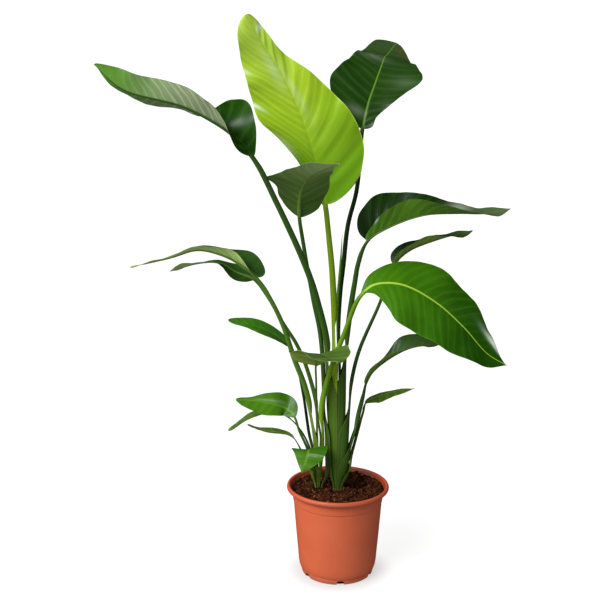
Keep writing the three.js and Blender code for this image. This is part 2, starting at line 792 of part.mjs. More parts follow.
    faces: [[0.6, -0.3, 0.7], [0.2, 0.2, 0.95], [0, 0.1, 1], [0, 0, 1]],
    left: {
      widths: [6, 20, 27, 16, 13, 10, 8],
      fold: [20, 40, 20, 10], curl: [0, 0, 0, 0], wave: 2,
    },
    right: {
      widths: [3, 25, 36, 17, 15, 10, 8],
      sweep: 1.05, lobe: 0.07, fold: [70, 60, 10, 0], curl: [0, 0, 0, 0], wave: 2,
    },
    colour: MIDDLE_GREEN,
  },
  {
    ...MEDIUM,
    name: "leaf_left_under",
    fan: SIDE_FAN,
    side: LEFT,
    rank: 0,
    sheath: [300, 420],
    stem: 8,
    stalk: [
      [-51.5, 1, 319], [-54.5, 7.5, 400.5], [-76, 17, 486.5], [-99, 22.5, 544], [-131, 24.5, 597],
      [-166, 25.5, 660], [-196, 24, 700],
    ],
    midrib: [[-235, 22, 716], [-273, 18, 738], [-315, 12, 739], [-383, 5, 722]],
    faces: [[0.3, -0.5, 0.8], [0, 0.1, 1], [0, 0.45, 0.9]],
    left: {
      widths: [6, 17, 26, 27, 29, 24, 12],
      fold: [-40, 0, 10], curl: [0, 0, 0], wave: 2,
    },
    right: {
      widths: [5, 16, 26, 12, 9, 8, 6],
      fold: [20, 20, 10], curl: [0, 0, 0], wave: 2,
    },
    colour: MIDDLE_GREEN,
  },
  {
    ...SMALL,
    name: "leaf_left_short",
    fan: SIDE_FAN,
    side: LEFT,
    rank: 2,
    sheath: [262, 310],
    stem: 6,
    stalk: [
      [-62.5, 4.5, 299.5], [-71, 13.5, 333.5], [-84, 23.5, 425.5], [-99, 26.5, 503],
      [-114, 18, 543],
    ],
    midrib: [[-133, 15, 561], [-171, 5, 587], [-209, -5, 603], [-252, -15, 615]],
    faces: [[0.2, -0.5, 0.8], [0, -0.5, 0.85], [0, -0.5, 0.85]],
    left: {
      widths: [3, 12, 20, 22, 15, 6],
      fold: [10, 10, 0], curl: [0, 0, 0], wave: 1,
    },
    right: {
      widths: [3, 13, 20, 21, 17, 6],
      fold: [10, 10, 0], curl: [0, 0, 0], wave: 1,
    },
    colour: DARK_GREEN,
  },
  {
    ...SMALL,
    name: "leaf_centre_low",
    fan: SIDE_FAN,
    side: RIGHT,
    rank: 0,
    sheath: [258, 290],
    stem: 4.6,
    stalk: [
      [-39.5, 0, 287.5], [-38.2, -3.5, 333.5], [-45, -12, 377.5], [-49.5, -22, 423],
      [-52, -38, 472.5], [-53.5, -49, 516.5],
    ],
    midrib: [[-50, -58, 542], [-38, -108, 557], [-8, -180, 559]],
    faces: [[0, 0.3, 0.95], [0, 0.2, 1], [0.1, 0.2, 1]],
    left: {
      widths: [10, 46, 64, 60, 46, 0],
      lobe: 0, fold: [10, 10, 8], curl: [10, 10, 0], wave: 3,
    },
    right: {
      widths: [44, 62, 70, 67, 50, 0],
      lobe: 0, fold: [2, 6, 4], curl: [4, 4, 0], wave: 5,
    },
    colour: OLIVE_GREEN,
  },
  {
    ...SMALL,
    name: "leaf_low_left",
    fan: SIDE_FAN,
    side: LEFT,
    rank: 4,
    sheath: [256, 290],
    stem: 5.5,
    stalk: [[-68, -5, 280], [-76, -11.5, 309.5], [-91, -16, 348.5], [-102, -16.5, 386]],
    midrib: [[-121, 0, 400], [-142, -5, 410], [-188, -10, 422], [-237, -15, 427]],
    faces: [[0, -0.7, 0.7], [-0.1, -0.7, 0.7], [-0.1, -0.7, 0.7]],
    left: {
      widths: [4, 16, 25, 32, 25, 6],
      fold: [-20, 0, 0], curl: [0, 0, 0], wave: 1,
    },
    right: {
      widths: [4, 26, 32, 23, 9, 6],
      fold: [20, 10, 0], curl: [0, 0, 0], wave: 1,
    },
    colour: BRIGHT_GREEN,
  },
  {
    ...SMALL,
    name: "leaf_low_strip",
    fan: SIDE_FAN,
    side: LEFT,
    rank: 3,
    sheath: [256, 295],
    stem: 4.2,
    stalk: [[-66.5, 5, 294.5], [-76, 11, 319], [-92, 14, 346.5], [-112, 15.5, 369.5]],
    midrib: [[-150, 38, 382], [-197, 38, 375], [-259, 38, 334]],
    faces: [[0.2, -0.1, 0.95], [-0.1, -0.3, 0.95], [-0.4, -0.4, 0.8]],
    left: {
      widths: [1, 5, 10, 12, 10, 6],
      fold: [0, 0, 0], curl: [0, 0, 0], wave: 1,
    },
    right: {
      widths: [1, 4, 9, 10, 8, 5],
      fold: [0, 0, 0], curl: [0, 0, 0], wave: 1,
    },
    colour: OLIVE_GREEN,
  },
  {
    ...SMALL,
    name: "leaf_low_wavy",
    fan: SIDE_FAN,
    side: LEFT,
    rank: 6,
    sheath: [250, 280],
    stem: 4,
    stalk: [[-81, -7, 282], [-90, -20.5, 309.5], [-104, -29.5, 338.5]],
    midrib: [[-124, -8, 341], [-140, -10, 346], [-181, -14, 353], [-211, -18, 368]],
    faces: [[0.2, -0.1, 0.95], [0, -0.35, 0.95], [0, -0.1, 1]],
    left: {
      widths: [1, 6, 9, 6, 5, 4],
      fold: [10, 10, 10], curl: [0, 0, 0], wave: 1,
    },
    right: {
      widths: [1, 7, 12, 11, 8, 4],
      fold: [10, 10, 10], curl: [0, 0, 0], wave: 1,
    },
    colour: OLIVE_GREEN,
  },
  {
    ...SMALL,
    name: "leaf_front_drooping",
    fan: SIDE_FAN,
    side: LEFT,
    rank: 5,
    sheath: [252, 282],
    stem: 4.6,
    stalk: [[-76, -15, 286], [-75, -26, 302], [-71, -37, 312]],
    midrib: [[-71, -46, 309], [-77, -55, 291], [-86, -62, 266]],
    faces: [[0, -0.4, 0.9], [0, -0.8, 0.6], [0, -0.9, 0.4]],
    left: {
      widths: [44, 45, 38, 28, 15, 0],
      sweep: 1, lobe: 0, fold: [10, 0, 0], curl: [0, 0, 0], wave: 1,
    },
    right: {
      widths: [38, 38, 33, 24, 13, 0],
      sweep: 1, lobe: 0, fold: [10, 0, 0], curl: [0, 0, 0], wave: 1,
    },
    colour: BRIGHT_GREEN,
  },
];

/** New leaf, still rolled into a tapering rod, in the middle of the main fan. */
function buildNewLeaf() {
  const knots = [
    [-3, -8, FOOT_HEIGHT], [-3, -8, 204], [-3, -8, 245], [-3, -5, 340], [-3, -3, 420], [-3, -1, 470],
    [-2.2, 2.8, 508], [-2.9, 10, 550], [-3.4, 19, 648], [2, 18, 730], [6, 14, 806],
  ];
  const radii = [1, 1, 2.4, 2.4, 2, 1.4, 1.2, 1.6, 3.1, 2.7, 0.9];
  const curve = new THREE.CatmullRomCurve3(knots.map(vector), false, "centripetal");
  const rings = [];
  const count = 16;
  for (let i = 0; i <= count; i += 1) {
    const t = i / count;
    const point = curve.getPoint(t);
    const place = t * (radii.length - 1);
    const k = Math.min(radii.length - 2, Math.floor(place));
    const radius = mix(radii[k], radii[k + 1], place - k);
    const ring = [];
    for (let j = 0; j < 10; j += 1) {
      const angle = (j / 10) * 2 * Math.PI;
      const reach = radius * (1 - 0.16 * (j / 10));
      ring.push(vector([point.x + reach * Math.cos(angle), point.y + reach * Math.sin(angle), point.z]));
    }
    rings.push(ring);
  }
  return meshFrom("new_leaf", skinRings(rings), BRIGHT_GREEN, 0.45);
}

/** Pointed stub of an old sheath that leans forward out of the side fan. */
function buildOldSheath() {
  const stations = [
    { point: [-38, -6, FOOT_HEIGHT], half: 2 },
    { point: [-38, -6, NARROW_HEIGHT], half: 2 },
    { point: [-35.5, -9, 220], half: 2.8 },
    { point: [-28.5, -17, 236], half: 4 },
    { point: [-25.5, -23, 253], half: 4.8 },
    { point: [-26, -26, 278], half: 4.6 },
    { point: [-28.5, -27, 312], half: 3.2 },
    { point: [-31.5, -26, 346], half: 0.7 },
  ];
  const rings = stations.map(({ point, half }) => {
    const frame = { point: vector(point), right: vector([1, 0, 0]), up: vector([0, 1, 0]) };
    return stalkRing(frame, half, 0.5 * half, 1.2, 0.3 * half).reverse();
  });
  return meshFrom("old_sheath", skinRings(rings), OLIVE_GREEN, 0.6);
}

const plant = new THREE.Group();
plant.add(buildPot(), buildSoil(), buildNewLeaf(), buildOldSheath(), ...LEAVES.map(buildLeaf));

export default plant;
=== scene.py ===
"""Looks of a potted bird of paradise: nursery pot, soil, two leaf fans, studio and camera.

Lengths are millimetres, but shaders and the studio count in metres, like the finished meshes. A
leaf is one line from its foot in the soil to its tip. Its sheath, stalk and midrib are rings
carried along that line, and its blade is a sheet whose veins start on the same line.
"""

from __future__ import annotations

import logging
import math
import sys
from dataclasses import dataclass, field, replace
from enum import Enum
from itertools import combinations

import bpy
import numpy as np
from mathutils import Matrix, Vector

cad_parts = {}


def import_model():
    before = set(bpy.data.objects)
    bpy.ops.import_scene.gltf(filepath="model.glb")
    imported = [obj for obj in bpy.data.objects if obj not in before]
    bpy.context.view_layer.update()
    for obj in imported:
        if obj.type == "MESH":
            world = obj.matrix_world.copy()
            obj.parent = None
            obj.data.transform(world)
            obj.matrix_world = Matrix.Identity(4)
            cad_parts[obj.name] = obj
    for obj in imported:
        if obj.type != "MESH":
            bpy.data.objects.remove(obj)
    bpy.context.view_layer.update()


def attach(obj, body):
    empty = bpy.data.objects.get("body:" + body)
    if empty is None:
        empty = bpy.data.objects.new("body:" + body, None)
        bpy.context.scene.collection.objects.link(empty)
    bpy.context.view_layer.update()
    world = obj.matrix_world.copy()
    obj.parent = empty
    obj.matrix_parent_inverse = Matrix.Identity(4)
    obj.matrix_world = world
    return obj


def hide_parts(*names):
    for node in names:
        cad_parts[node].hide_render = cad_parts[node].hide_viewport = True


Array = np.ndarray
Colour = tuple[float, float, float]
Point = tuple[float, float, float]

MM = 0.001
SEED = 7
UPWARD = np.array([0.0, 0.0, 1.0])
LEAF_CREASE = 50.0
log = logging.getLogger("plant")


# Numbers and curves


def smooth(t: Array | float) -> Array | float:
    """Ease t from 0 to 1: t squared times (3 - 2t), with t held between 0 and 1."""
    held = np.clip(t, 0.0, 1.0)
    return held * held * (3.0 - 2.0 * held)


def mix(a: Array | float, b: Array | float, t: Array | float) -> Array | float:
    """Value a share t of the way from a to b."""
    return a + (b - a) * t


def unit(vectors: Array) -> Array:
    """Vectors of length one along the last axis."""
    return vectors / np.maximum(np.linalg.norm(vectors, axis=-1, keepdims=True), 1e-9)


def through(values: Array, t: Array) -> Array:
    """Eased value between evenly spaced values.

    Args:
        values: Numbers, or points in rows, at even steps from 0 to 1.
        t: Places from 0 to 1.

    Returns:
        One value for each place.
    """
    stations = np.asarray(values, float)
    at = np.clip(t, 0.0, 1.0) * (len(stations) - 1)
    index = np.minimum(at.astype(int), len(stations) - 2)
    share = smooth(at - index)
    if stations.ndim == 2:
        share = share[..., None]
    return mix(stations[index], stations[index + 1], share)


def curved(values: Array, t: Array) -> Array:
    """Rounded curve through evenly spaced values: a cubic whose slope at a value is half the
    difference of its neighbours.

    Args:
        values: Numbers at even steps from 0 to 1.
        t: Places from 0 to 1.

    Returns:
        One value for each place.
    """
    stations = np.asarray(values, float)
    first = 2 * stations[0] - stations[1]
    last = 2 * stations[-1] - stations[-2]
    padded = np.concatenate([[first], stations, [last]])
    at = np.clip(t, 0.0, 1.0) * (len(stations) - 1)
    index = np.minimum(at.astype(int), len(stations) - 2)
    s = at - index
    before, here, there, after = (padded[index + k] for k in range(4))
    rise = (there - before) / 2
    fall = (after - here) / 2
    step = there - here
    return here + s * (rise + s * (3 * step - 2 * rise - fall + s * (rise + fall - 2 * step)))


def grain(x: Array, y: Array, cell: float, seed: int) -> Array:
    """Smooth random height from -1 to 1: random numbers on a square lattice, eased between.

    Args:
        x: First coordinates.
        y: Second coordinates.
        cell: Side of a lattice square.
        seed: Seed of the lattice.

    Returns:
        One height for each point.
    """
    size = 64
    lattice = np.random.default_rng(seed).uniform(-1.0, 1.0, (size, size))
    i = np.floor(x / cell).astype(int)
    j = np.floor(y / cell).astype(int)
    s = smooth(x / cell - i)
    t = smooth(y / cell - j)
    low = mix(lattice[i % size, j % size], lattice[(i + 1) % size, j % size], s)
    high = mix(lattice[i % size, (j + 1) % size], lattice[(i + 1) % size, (j + 1) % size], s)
    return mix(low, high, t)


def full_turn(count: int) -> Array:
    """Angles of points spread evenly round a circle, from 0."""
    return np.arange(count) * 2 * np.pi / count


class Line:
    """Centripetal Catmull-Rom line through knots, read by the distance from its start.

    Between two knots the line is a cubic, and its speed at a knot weighs the steps on both sides by
    the square root of their lengths.
    """

    STEPS = 40
    NUDGE = 1e-4

    def __init__(self, knots: list[Point]) -> None:
        """Measure the line.

        Args:
            knots: Points that the line passes through.
        """
        self.knots = np.asarray(knots, float)
        self.places = np.linspace(0.0, 1.0, self.STEPS * (len(knots) - 1) + 1)
        steps = np.linalg.norm(np.diff(self.at_place(self.places), axis=0), axis=1)
        self.lengths = np.concatenate([[0.0], np.cumsum(steps)])
        self.total = float(self.lengths[-1])

    def at_place(self, place: Array) -> Array:
        """Points of the line.

        Args:
            place: Places from 0 to 1, evenly spread over the knots.

        Returns:
            The points.
        """
        k = self.knots
        padded = np.vstack([2 * k[0] - k[1], k, 2 * k[-1] - k[-2]])
        at = np.clip(place, 0.0, 1.0) * (len(k) - 1)
        index = np.minimum(at.astype(int), len(k) - 2)
        s = (at - index)[..., None]
        p0, p1, p2, p3 = (padded[index + j] for j in range(4))
        d0, d1, d2 = (
            np.sqrt(np.linalg.norm(b - a, axis=-1, keepdims=True))
            for a, b in ((p0, p1), (p1, p2), (p2, p3))
        )
        leave = ((p1 - p0) / d0 - (p2 - p0) / (d0 + d1) + (p2 - p1) / d1) * d1
        reach = ((p2 - p1) / d1 - (p3 - p1) / (d1 + d2) + (p3 - p2) / d2) * d1
        square = -3 * p1 + 3 * p2 - 2 * leave - reach
        cube = 2 * p1 - 2 * p2 + leave + reach
        return p1 + s * (leave + s * (square + s * cube))

    def point(self, distance: Array) -> Array:
        """Points at distances from the start."""
        return self.at_place(np.interp(distance, self.lengths, self.places))

    def direction(self, distance: Array) -> Array:
        """Directions of the line.

        Args:
            distance: Distances from the start.

        Returns:
            Directions of length one.
        """
        place = np.interp(distance, self.lengths, self.places)
        before = self.at_place(np.maximum(place - self.NUDGE, 0.0))
        after = self.at_place(np.minimum(place + self.NUDGE, 1.0))
        return unit(after - before)


# Meshes


@dataclass
class Shell:
    """One closed surface: its points, its faces and the values that its points carry.

    Attributes:
        points: Points in rows, in millimetres.
        faces: Lists of point numbers, each anticlockwise from outside.
        values: Named numbers, one for each point.
        coat: Which of the piece's materials it wears.
    """

    points: Array
    faces: list[list[int]]
    values: dict[str, Array] = field(default_factory=dict)
    coat: int = 0


def bands(numbers: Array) -> Array:
    """Four-cornered faces between each ring of points and the next.

    Args:
        numbers: Point numbers in rings.

    Returns:
        The faces in rows.
    """
    turned = np.roll(numbers, -1, axis=1)
    faces = np.stack([numbers[:-1], turned[:-1], turned[1:], numbers[1:]], axis=-1)
    return faces.reshape(-1, 4)


def skin(rings: Array) -> Shell:
    """Closed skin over rings of points, with a flat cap at each end.

    Args:
        rings: Array of rings, points in a ring, and coordinates. Each ring runs anticlockwise as
            seen from the last one.

    Returns:
        The skin, its points in the order of the rings.
    """
    count, size, _ = rings.shape
    numbers = np.arange(count * size).reshape(count, size)
    caps = [numbers[0, ::-1].tolist(), numbers[-1].tolist()]
    return Shell(rings.reshape(-1, 3), bands(numbers).tolist() + caps)


def circles(radii: Array, heights: Array, segments: int) -> Array:
    """Circles round the Z axis.

    Point k of circle i stands at radius radii[i] and angle 2 pi k / segments.

    Args:
        radii: Radii of the circles.
        heights: Heights of the circles in a column, or of each point of each circle in rows.
        segments: Points in a circle.

    Returns:
        Array of circles, points in a circle, and coordinates.
    """
    angles = full_turn(segments)
    x = np.outer(radii, np.cos(angles))
    y = np.outer(radii, np.sin(angles))
    return np.stack([x, y, np.broadcast_to(heights, x.shape)], axis=-1)


def lathe(radii: Array, heights: Array, segments: int) -> Shell:
    """Closed surface of revolution between two poles on the Z axis.

    Args:
        radii: Radii of the rings from the lower pole, outside first, to the upper one.
        heights: Heights of the rings, or of each point of each ring, with the two poles' heights
            first and last.
        segments: Points in a ring.

    Returns:
        The surface.
    """
    rows = len(radii) + 2
    level = np.broadcast_to(np.asarray(heights, float).reshape(rows, -1), (rows, segments))
    ring = circles(radii, level[1:-1], segments)
    points = np.vstack([[[0, 0, level[0, 0]]], ring.reshape(-1, 3), [[0, 0, level[-1, 0]]]])
    numbers = 1 + np.arange(len(radii) * segments).reshape(len(radii), segments)
    turned = np.roll(numbers, -1, axis=1)
    start = np.stack([np.zeros(segments, int), turned[0], numbers[0]], axis=-1)
    end = np.stack([np.full(segments, len(points) - 1), numbers[-1], turned[-1]], axis=-1)
    return Shell(points, bands(numbers).tolist() + start.tolist() + end.tolist())


def sheet(middle: Array, tip: Array, thickness: float) -> Shell:
    """Closed thin sheet around a grid that ends in a tip.

    Each point of the grid is moved half the thickness along its normal, to both sides, and a narrow
    strip round the margin joins the two faces.

    Args:
        middle: Array of rows, points in a row from left to right, and coordinates.
        tip: Point at the far end.
        thickness: Distance between the two faces.

    Returns:
        The sheet: its upper points, the upper tip, its lower points and the lower tip.
    """
    rows, width, _ = middle.shape
    ahead = np.gradient(middle, axis=0)
    aside = np.gradient(middle, axis=1)
    normal = unit(np.cross(aside, ahead)).reshape(-1, 3)
    tip_normal = unit(normal[-width:].mean(axis=0))
    flat = np.vstack([middle.reshape(-1, 3), tip])
    lift = np.vstack([normal, tip_normal]) * (thickness / 2)
    count = rows * width + 1
    numbers = np.arange(rows * width).reshape(rows, width)
    upper = np.stack(
        [numbers[:-1, :-1], numbers[:-1, 1:], numbers[1:, 1:], numbers[1:, :-1]], axis=-1
    ).reshape(-1, 4)
    last = numbers[-1]
    end = np.stack([last[:-1], last[1:], np.full(width - 1, count - 1)], axis=-1)
    loop = np.concatenate([numbers[0], numbers[1:, -1], [count - 1], numbers[:0:-1, 0]])
    after = np.roll(loop, -1)
    margin = np.stack([loop, loop + count, after + count, after], axis=-1)
    faces = upper.tolist() + end.tolist() + (upper[:, ::-1] + count).tolist()
    faces += (end[:, ::-1] + count).tolist() + margin.tolist()
    return Shell(np.vstack([flat + lift, flat - lift]), faces)


def make_piece(
    name: str, shells: list[Shell], materials: list[bpy.types.Material], crease: float
) -> bpy.types.Object:
    """Object at the origin that holds the shells in one mesh.

    Args:
        name: Name of the object.
        shells: Closed surfaces.
        materials: Materials that the shells' coats count through.
        crease: Angle in degrees past which an edge stays sharp.

    Returns:
        The new object.
    """
    starts = np.cumsum([0] + [len(s.points) for s in shells])
    points = np.vstack([s.points for s in shells]) * MM
    faces: list[list[int]] = []
    coats: list[int] = []
    for start, shell in zip(starts, shells):
        faces += [[int(k) + int(start) for k in face] for face in shell.faces]
        coats += [shell.coat] * len(shell.faces)
    mesh = bpy.data.meshes.new(name)
    mesh.from_pydata(points.tolist(), [], faces)
    for key in sorted({key for s in shells for key in s.values}):
        parts = [np.asarray(s.values.get(key, np.zeros(len(s.points))), float) for s in shells]
        layer = mesh.attributes.new(key, "FLOAT", "POINT")
        layer.data.foreach_set("value", np.concatenate(parts).astype(np.float32))
    for material in materials:
        mesh.materials.append(material)
    mesh.polygons.foreach_set("material_index", np.array(coats, np.int32))
    mesh.shade_smooth()
    mesh.set_sharp_from_angle(angle=math.radians(crease))
    mesh.validate()
    piece = bpy.data.objects.new(name, mesh)
    bpy.context.scene.collection.objects.link(piece)
    return piece


def settle(piece: bpy.types.Object, node: str) -> None:
    """Let a piece stand for a node of the frame and ride on the root, and log it.

    Args:
        piece: The piece.
        node: Node that it stands for.
    """
    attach(piece, "root")
    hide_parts(node)
    log.info("%s: %d faces", piece.name, len(piece.data.polygons))


# Shaders


class Wire:
    """Output of a node, on which arithmetic adds Math nodes."""

    def __init__(self, paint: Paint, socket: bpy.types.NodeSocket) -> None:
        """Wrap a socket of the node tree that paint writes."""
        self.paint = paint
        self.socket = socket

    def math(self, operation: str, *others: Wire | float) -> Wire:
        """Math node whose first value is this wire."""
        inputs = dict(enumerate((self, *others)))
        return self.paint.node("ShaderNodeMath", {"operation": operation}, inputs)

    def __add__(self, other: Wire | float) -> Wire:
        """Sum."""
        return self.math("ADD", other)

    __radd__ = __add__

    def __sub__(self, other: Wire | float) -> Wire:
        """Difference."""
        return self.math("SUBTRACT", other)

    def __rsub__(self, other: float) -> Wire:
        """Difference from a number."""
        return self.paint.node("ShaderNodeMath", {"operation": "SUBTRACT"}, {0: other, 1: self})

    def __mul__(self, other: Wire | float) -> Wire:
        """Product."""
        return self.math("MULTIPLY", other)

    __rmul__ = __mul__

    def __truediv__(self, other: Wire | float) -> Wire:
        """Quotient."""
        return self.math("DIVIDE", other)

    def __pow__(self, other: Wire | float) -> Wire:
        """Power."""
        return self.math("POWER", other)

    def __abs__(self) -> Wire:
        """Size without sign."""
        return self.math("ABSOLUTE")

    def sine(self) -> Wire:
        """Sine of an angle in radians."""
        return self.math("SINE")

    def step(self, low: float, high: float) -> Wire:
        """Eased share of the way from low to high.

        Args:
            low: Value at which the share is 0; it may be the larger one.
            high: Value at which it is 1.

        Returns:
            The share.
        """
        settings = {"interpolation_type": "SMOOTHSTEP"}
        if low > high:
            return 1.0 - self.step(high, low)
        inputs = {"Value": self, "From Min": low, "From Max": high}
        return self.paint.node("ShaderNodeMapRange", settings, inputs)


class Paint:
    """Material whose nodes are written as expressions."""

    def __init__(self, name: str) -> None:
        """Start an empty material."""
        self.material = bpy.data.materials.new(name)
        self.material.use_nodes = True
        self.tree = self.material.node_tree
        self.tree.nodes.clear()

    def node(self, kind: str, settings: dict, inputs: dict, output: int | str = 0) -> Wire:
        """Add one node.

        Args:
            kind: Type of the node.
            settings: Properties, set first. The key stops gives a ramp's places and colours.
            inputs: Values or wires of sockets, by name or number.
            output: Socket that is handed back.

        Returns:
            Wire from the output.
        """
        node = self.tree.nodes.new(kind)
        for key, value in settings.items():
            if key == "stops":
                ramp = node.color_ramp
                while len(ramp.elements) < len(value):
                    ramp.elements.new(0.5)
                for element, (place, colour) in zip(ramp.elements, value):
                    element.position = place
                    element.color = (*colour, 1.0)
            else:
                setattr(node, key, value)
        for key, value in inputs.items():
            socket = node.inputs[key]
            if isinstance(value, Wire):
                self.tree.links.new(value.socket, socket)
            elif isinstance(value, tuple) and len(value) == 3 and socket.type == "RGBA":
                socket.default_value = (*value, 1.0)
            else:
                socket.default_value = value
        return Wire(self, node.outputs[output])

    def value(self, name: str) -> Wire:
        """Number that the mesh carries under a name."""
        settings = {"attribute_type": "GEOMETRY", "attribute_name": name}
        return self.node("ShaderNodeAttribute", settings, {}, "Fac")

    def place(self) -> Wire:
        """Object coordinates, in metres."""
        return self.node("ShaderNodeTexCoord", {}, {}, "Object")

    def vector(self, x: Wire | float, y: Wire | float, z: Wire | float) -> Wire:
        """Vector from three numbers."""
        return self.node("ShaderNodeCombineXYZ", {}, {0: x, 1: y, 2: z})

    def noise(self, where: Wire, scale: float, detail: float = 3.0, roughness: float = 0.5) -> Wire:
        """Noise from 0 to 1 at a place."""
        inputs = {"Vector": where, "Scale": scale, "Detail": detail, "Roughness": roughness}
        return self.node("ShaderNodeTexNoise", {}, inputs)

    def blend(self, a: Wire | Colour, b: Wire | Colour, share: Wire | float) -> Wire:
        """Colour a share of the way from a to b."""
        return self.node("ShaderNodeMix", {"data_type": "RGBA"}, {0: share, 6: a, 7: b}, 2)

    def bump(self, height: Wire, distance: float, strength: float = 1.0) -> Wire:
        """Normal of a surface raised by a height from 0 to 1 times a distance in metres."""
        inputs = {"Height": height, "Distance": distance, "Strength": strength}
        return self.node("ShaderNodeBump", {}, inputs)

    def finish(self, inputs: dict) -> bpy.types.Material:
        """Join a surface shader to the material's output.

        Args:
            inputs: Values or wires of the shader's sockets.

        Returns:
            The finished material.
        """
        surface = self.node("ShaderNodeBsdfPrincipled", {}, inputs)
        output = self.tree.nodes.new("ShaderNodeOutputMaterial")
        self.tree.links.new(surface.socket, output.inputs["Surface"])
        return self.material


# Finishes


BROWN: Colour = (0.12, 0.055, 0.02)
DRY_MARGIN: Colour = (0.15, 0.17, 0.05)
# Whitish colour of the painted highlights on the blades.
PAINTED_HIGHLIGHT: Colour = (0.72, 0.8, 0.66)


def toned(colour: Colour, gain: float, lift: float = 0.0) -> Colour:
    """Colour times a gain plus a lift, with no part above 1."""
    return tuple(min(1.0, gain * part + lift) for part in colour)


@dataclass(frozen=True)
class LeafFinish:
    """Colours and gloss of one kind of leaf.

    Attributes:
        slot: Material slot of the record; not used.
        upper: Upper face where it is fresh.
        shade: Upper face where it is deeper.
        lower: Underside.
        vein: Side veins and the margin.
        rib: Midrib.
        stalk: Stalk.
        sheath: Sheath below the stalk.
        gloss: Roughness of the upper face.
        coat: Weight of the clear wax on the upper face.
        stripes: Strength of the side veins on the upper face.
        under_stripes: Strength of the side veins on the underside.
        rib_show: Strength of the midrib's colour.
        fresh_tip: Share by which the underside turns fresh green towards the tip.
        base_tone: Colour that the blade takes on towards its base.
        base_share: Share of that colour at the base.
        tip_tone: Colour that the blade takes on towards its tip.
        tip_share: Share of that colour at the tip.
        rib_half: Half width of the midrib's colour at the base.
    """

    slot: str
    upper: Colour
    shade: Colour
    lower: Colour
    vein: Colour
    rib: Colour
    stalk: Colour
    sheath: Colour
    gloss: float
    coat: float
    stripes: float = 0.5
    under_stripes: float = 0.5
    rib_show: float = 0.9
    fresh_tip: float = 0.0
    base_tone: Colour = (0.0, 0.0, 0.0)
    base_share: float = 0.0
    tip_tone: Colour = (0.0, 0.0, 0.0)
    tip_share: float = 0.0
    rib_half: float = 2.6

    WIDE_VEIN_SPACING = 21.0
    WIDE_VEIN_DRIFT = 7.0
    WIDE_VEIN_POWER = 14.0
    FINE_VEIN_SPACING = 4.6
    FINE_VEIN_DRIFT = 3.0
    FINE_VEIN_POWER = 6.0
    UNDER_VEIN_POWER = 5.0
    CLOUD_SCALE = 9.0
    CLOUD_RANGE = (0.3, 0.7)
    DRIFT_RUN = 30.0
    STREAK_RUN = 3.2
    STREAK_RANGE = (0.25, 0.75)
    FACE_SHIFT = 7.0
    FRESH_RANGE = (0.35, 0.95)
    BASE_RANGE = (0.55, 0.0)
    TIP_RANGE = (0.4, 1.0)
    RIB_TAPER = 0.75
    RIB_RANGE = (1.2, 0.6)
    MARGIN_RANGE = (0.97, 0.997)
    MARGIN_SHARE = 0.45
    ROUGHNESS = 0.62
    BLADE_RELIEF = 0.0004
    STEM_CLOUD_SCALE = 16.0
    STEM_LINES = (9.0, 160.0)
    STEM_FINE_LINES = (26.0, 90.0)
    STALK_STAGES = (0.75, 1.2)
    KEEL_STAGES = (1.93, 2.1)
    OPEN_STAGES = (1.0, 0.9)
    FOOT_STAGES = (0.2, 0.1)
    DRY_TURNS = (0.96, 0.99)
    STEM_RELIEF = 0.0005
    PALE_LOWER = (1.45, 0.02)
    DEEP_LOWER = 0.72
    PALE_SHEATH = (1.35, 0.01)
    DEEP_SHEATH = 0.55
    DEEP_STALK = 0.68

    @staticmethod
    def stripe(run: Wire, spacing: float, shift: Wire) -> Wire:
        """Wave from 0 to 1 that returns at each spacing along the run, moved by an angle."""
        return (run * (2 * math.pi / spacing) + shift).sine() * 0.5 + 0.5

    def blade(self, name: str) -> bpy.types.Material:
        """Material of the blade.

        Side veins are stripes of the place along the midrib where a vein starts. The midrib is a
        tapering band round the middle, the margin a thin one at the edge, and whitish patches are
        painted highlights.

        Args:
            name: Name of the finish.

        Returns:
            The material.
        """
        paint = Paint(name + "_blade")
        side = abs(paint.value("across"))
        along = paint.value("along")
        run = paint.value("run")
        face = paint.value("face")
        cloud = paint.noise(paint.place(), self.CLOUD_SCALE)
        shift = face * self.FACE_SHIFT
        drift = paint.noise(paint.vector(run / self.DRIFT_RUN, side * 1.2, shift), 1.0, 2.0)
        streak = paint.noise(paint.vector(run / self.STREAK_RUN, side * 1.6, shift), 1.0, 2.0)
        wide = self.stripe(run, self.WIDE_VEIN_SPACING, drift * self.WIDE_VEIN_DRIFT)
        fine = self.stripe(run, self.FINE_VEIN_SPACING, drift * self.FINE_VEIN_DRIFT)
        streaked = streak.step(*self.STREAK_RANGE)

        relief = (wide * 0.6 + streaked * 0.4) * self.stripes
        fresh = cloud.step(*self.CLOUD_RANGE) * (1.0 - self.stripes) + relief
        upper = paint.blend(self.shade, self.upper, fresh)
        wide_lines = (wide ** self.WIDE_VEIN_POWER) * (0.3 + streak * 0.5)
        fine_lines = (fine ** self.FINE_VEIN_POWER) * 0.25 * side.step(1.0, 0.55)
        upper = paint.blend(upper, self.vein, (wide_lines + fine_lines) * self.stripes)

        under = streaked * 0.35 + (wide ** self.UNDER_VEIN_POWER) * 0.65
        under = under * self.under_stripes + cloud * (1.0 - self.under_stripes)
        pale = toned(self.lower, *self.PALE_LOWER)
        lower = paint.blend(toned(self.lower, self.DEEP_LOWER), pale, under)
        lower = paint.blend(lower, self.upper, along.step(*self.FRESH_RANGE) * self.fresh_tip)

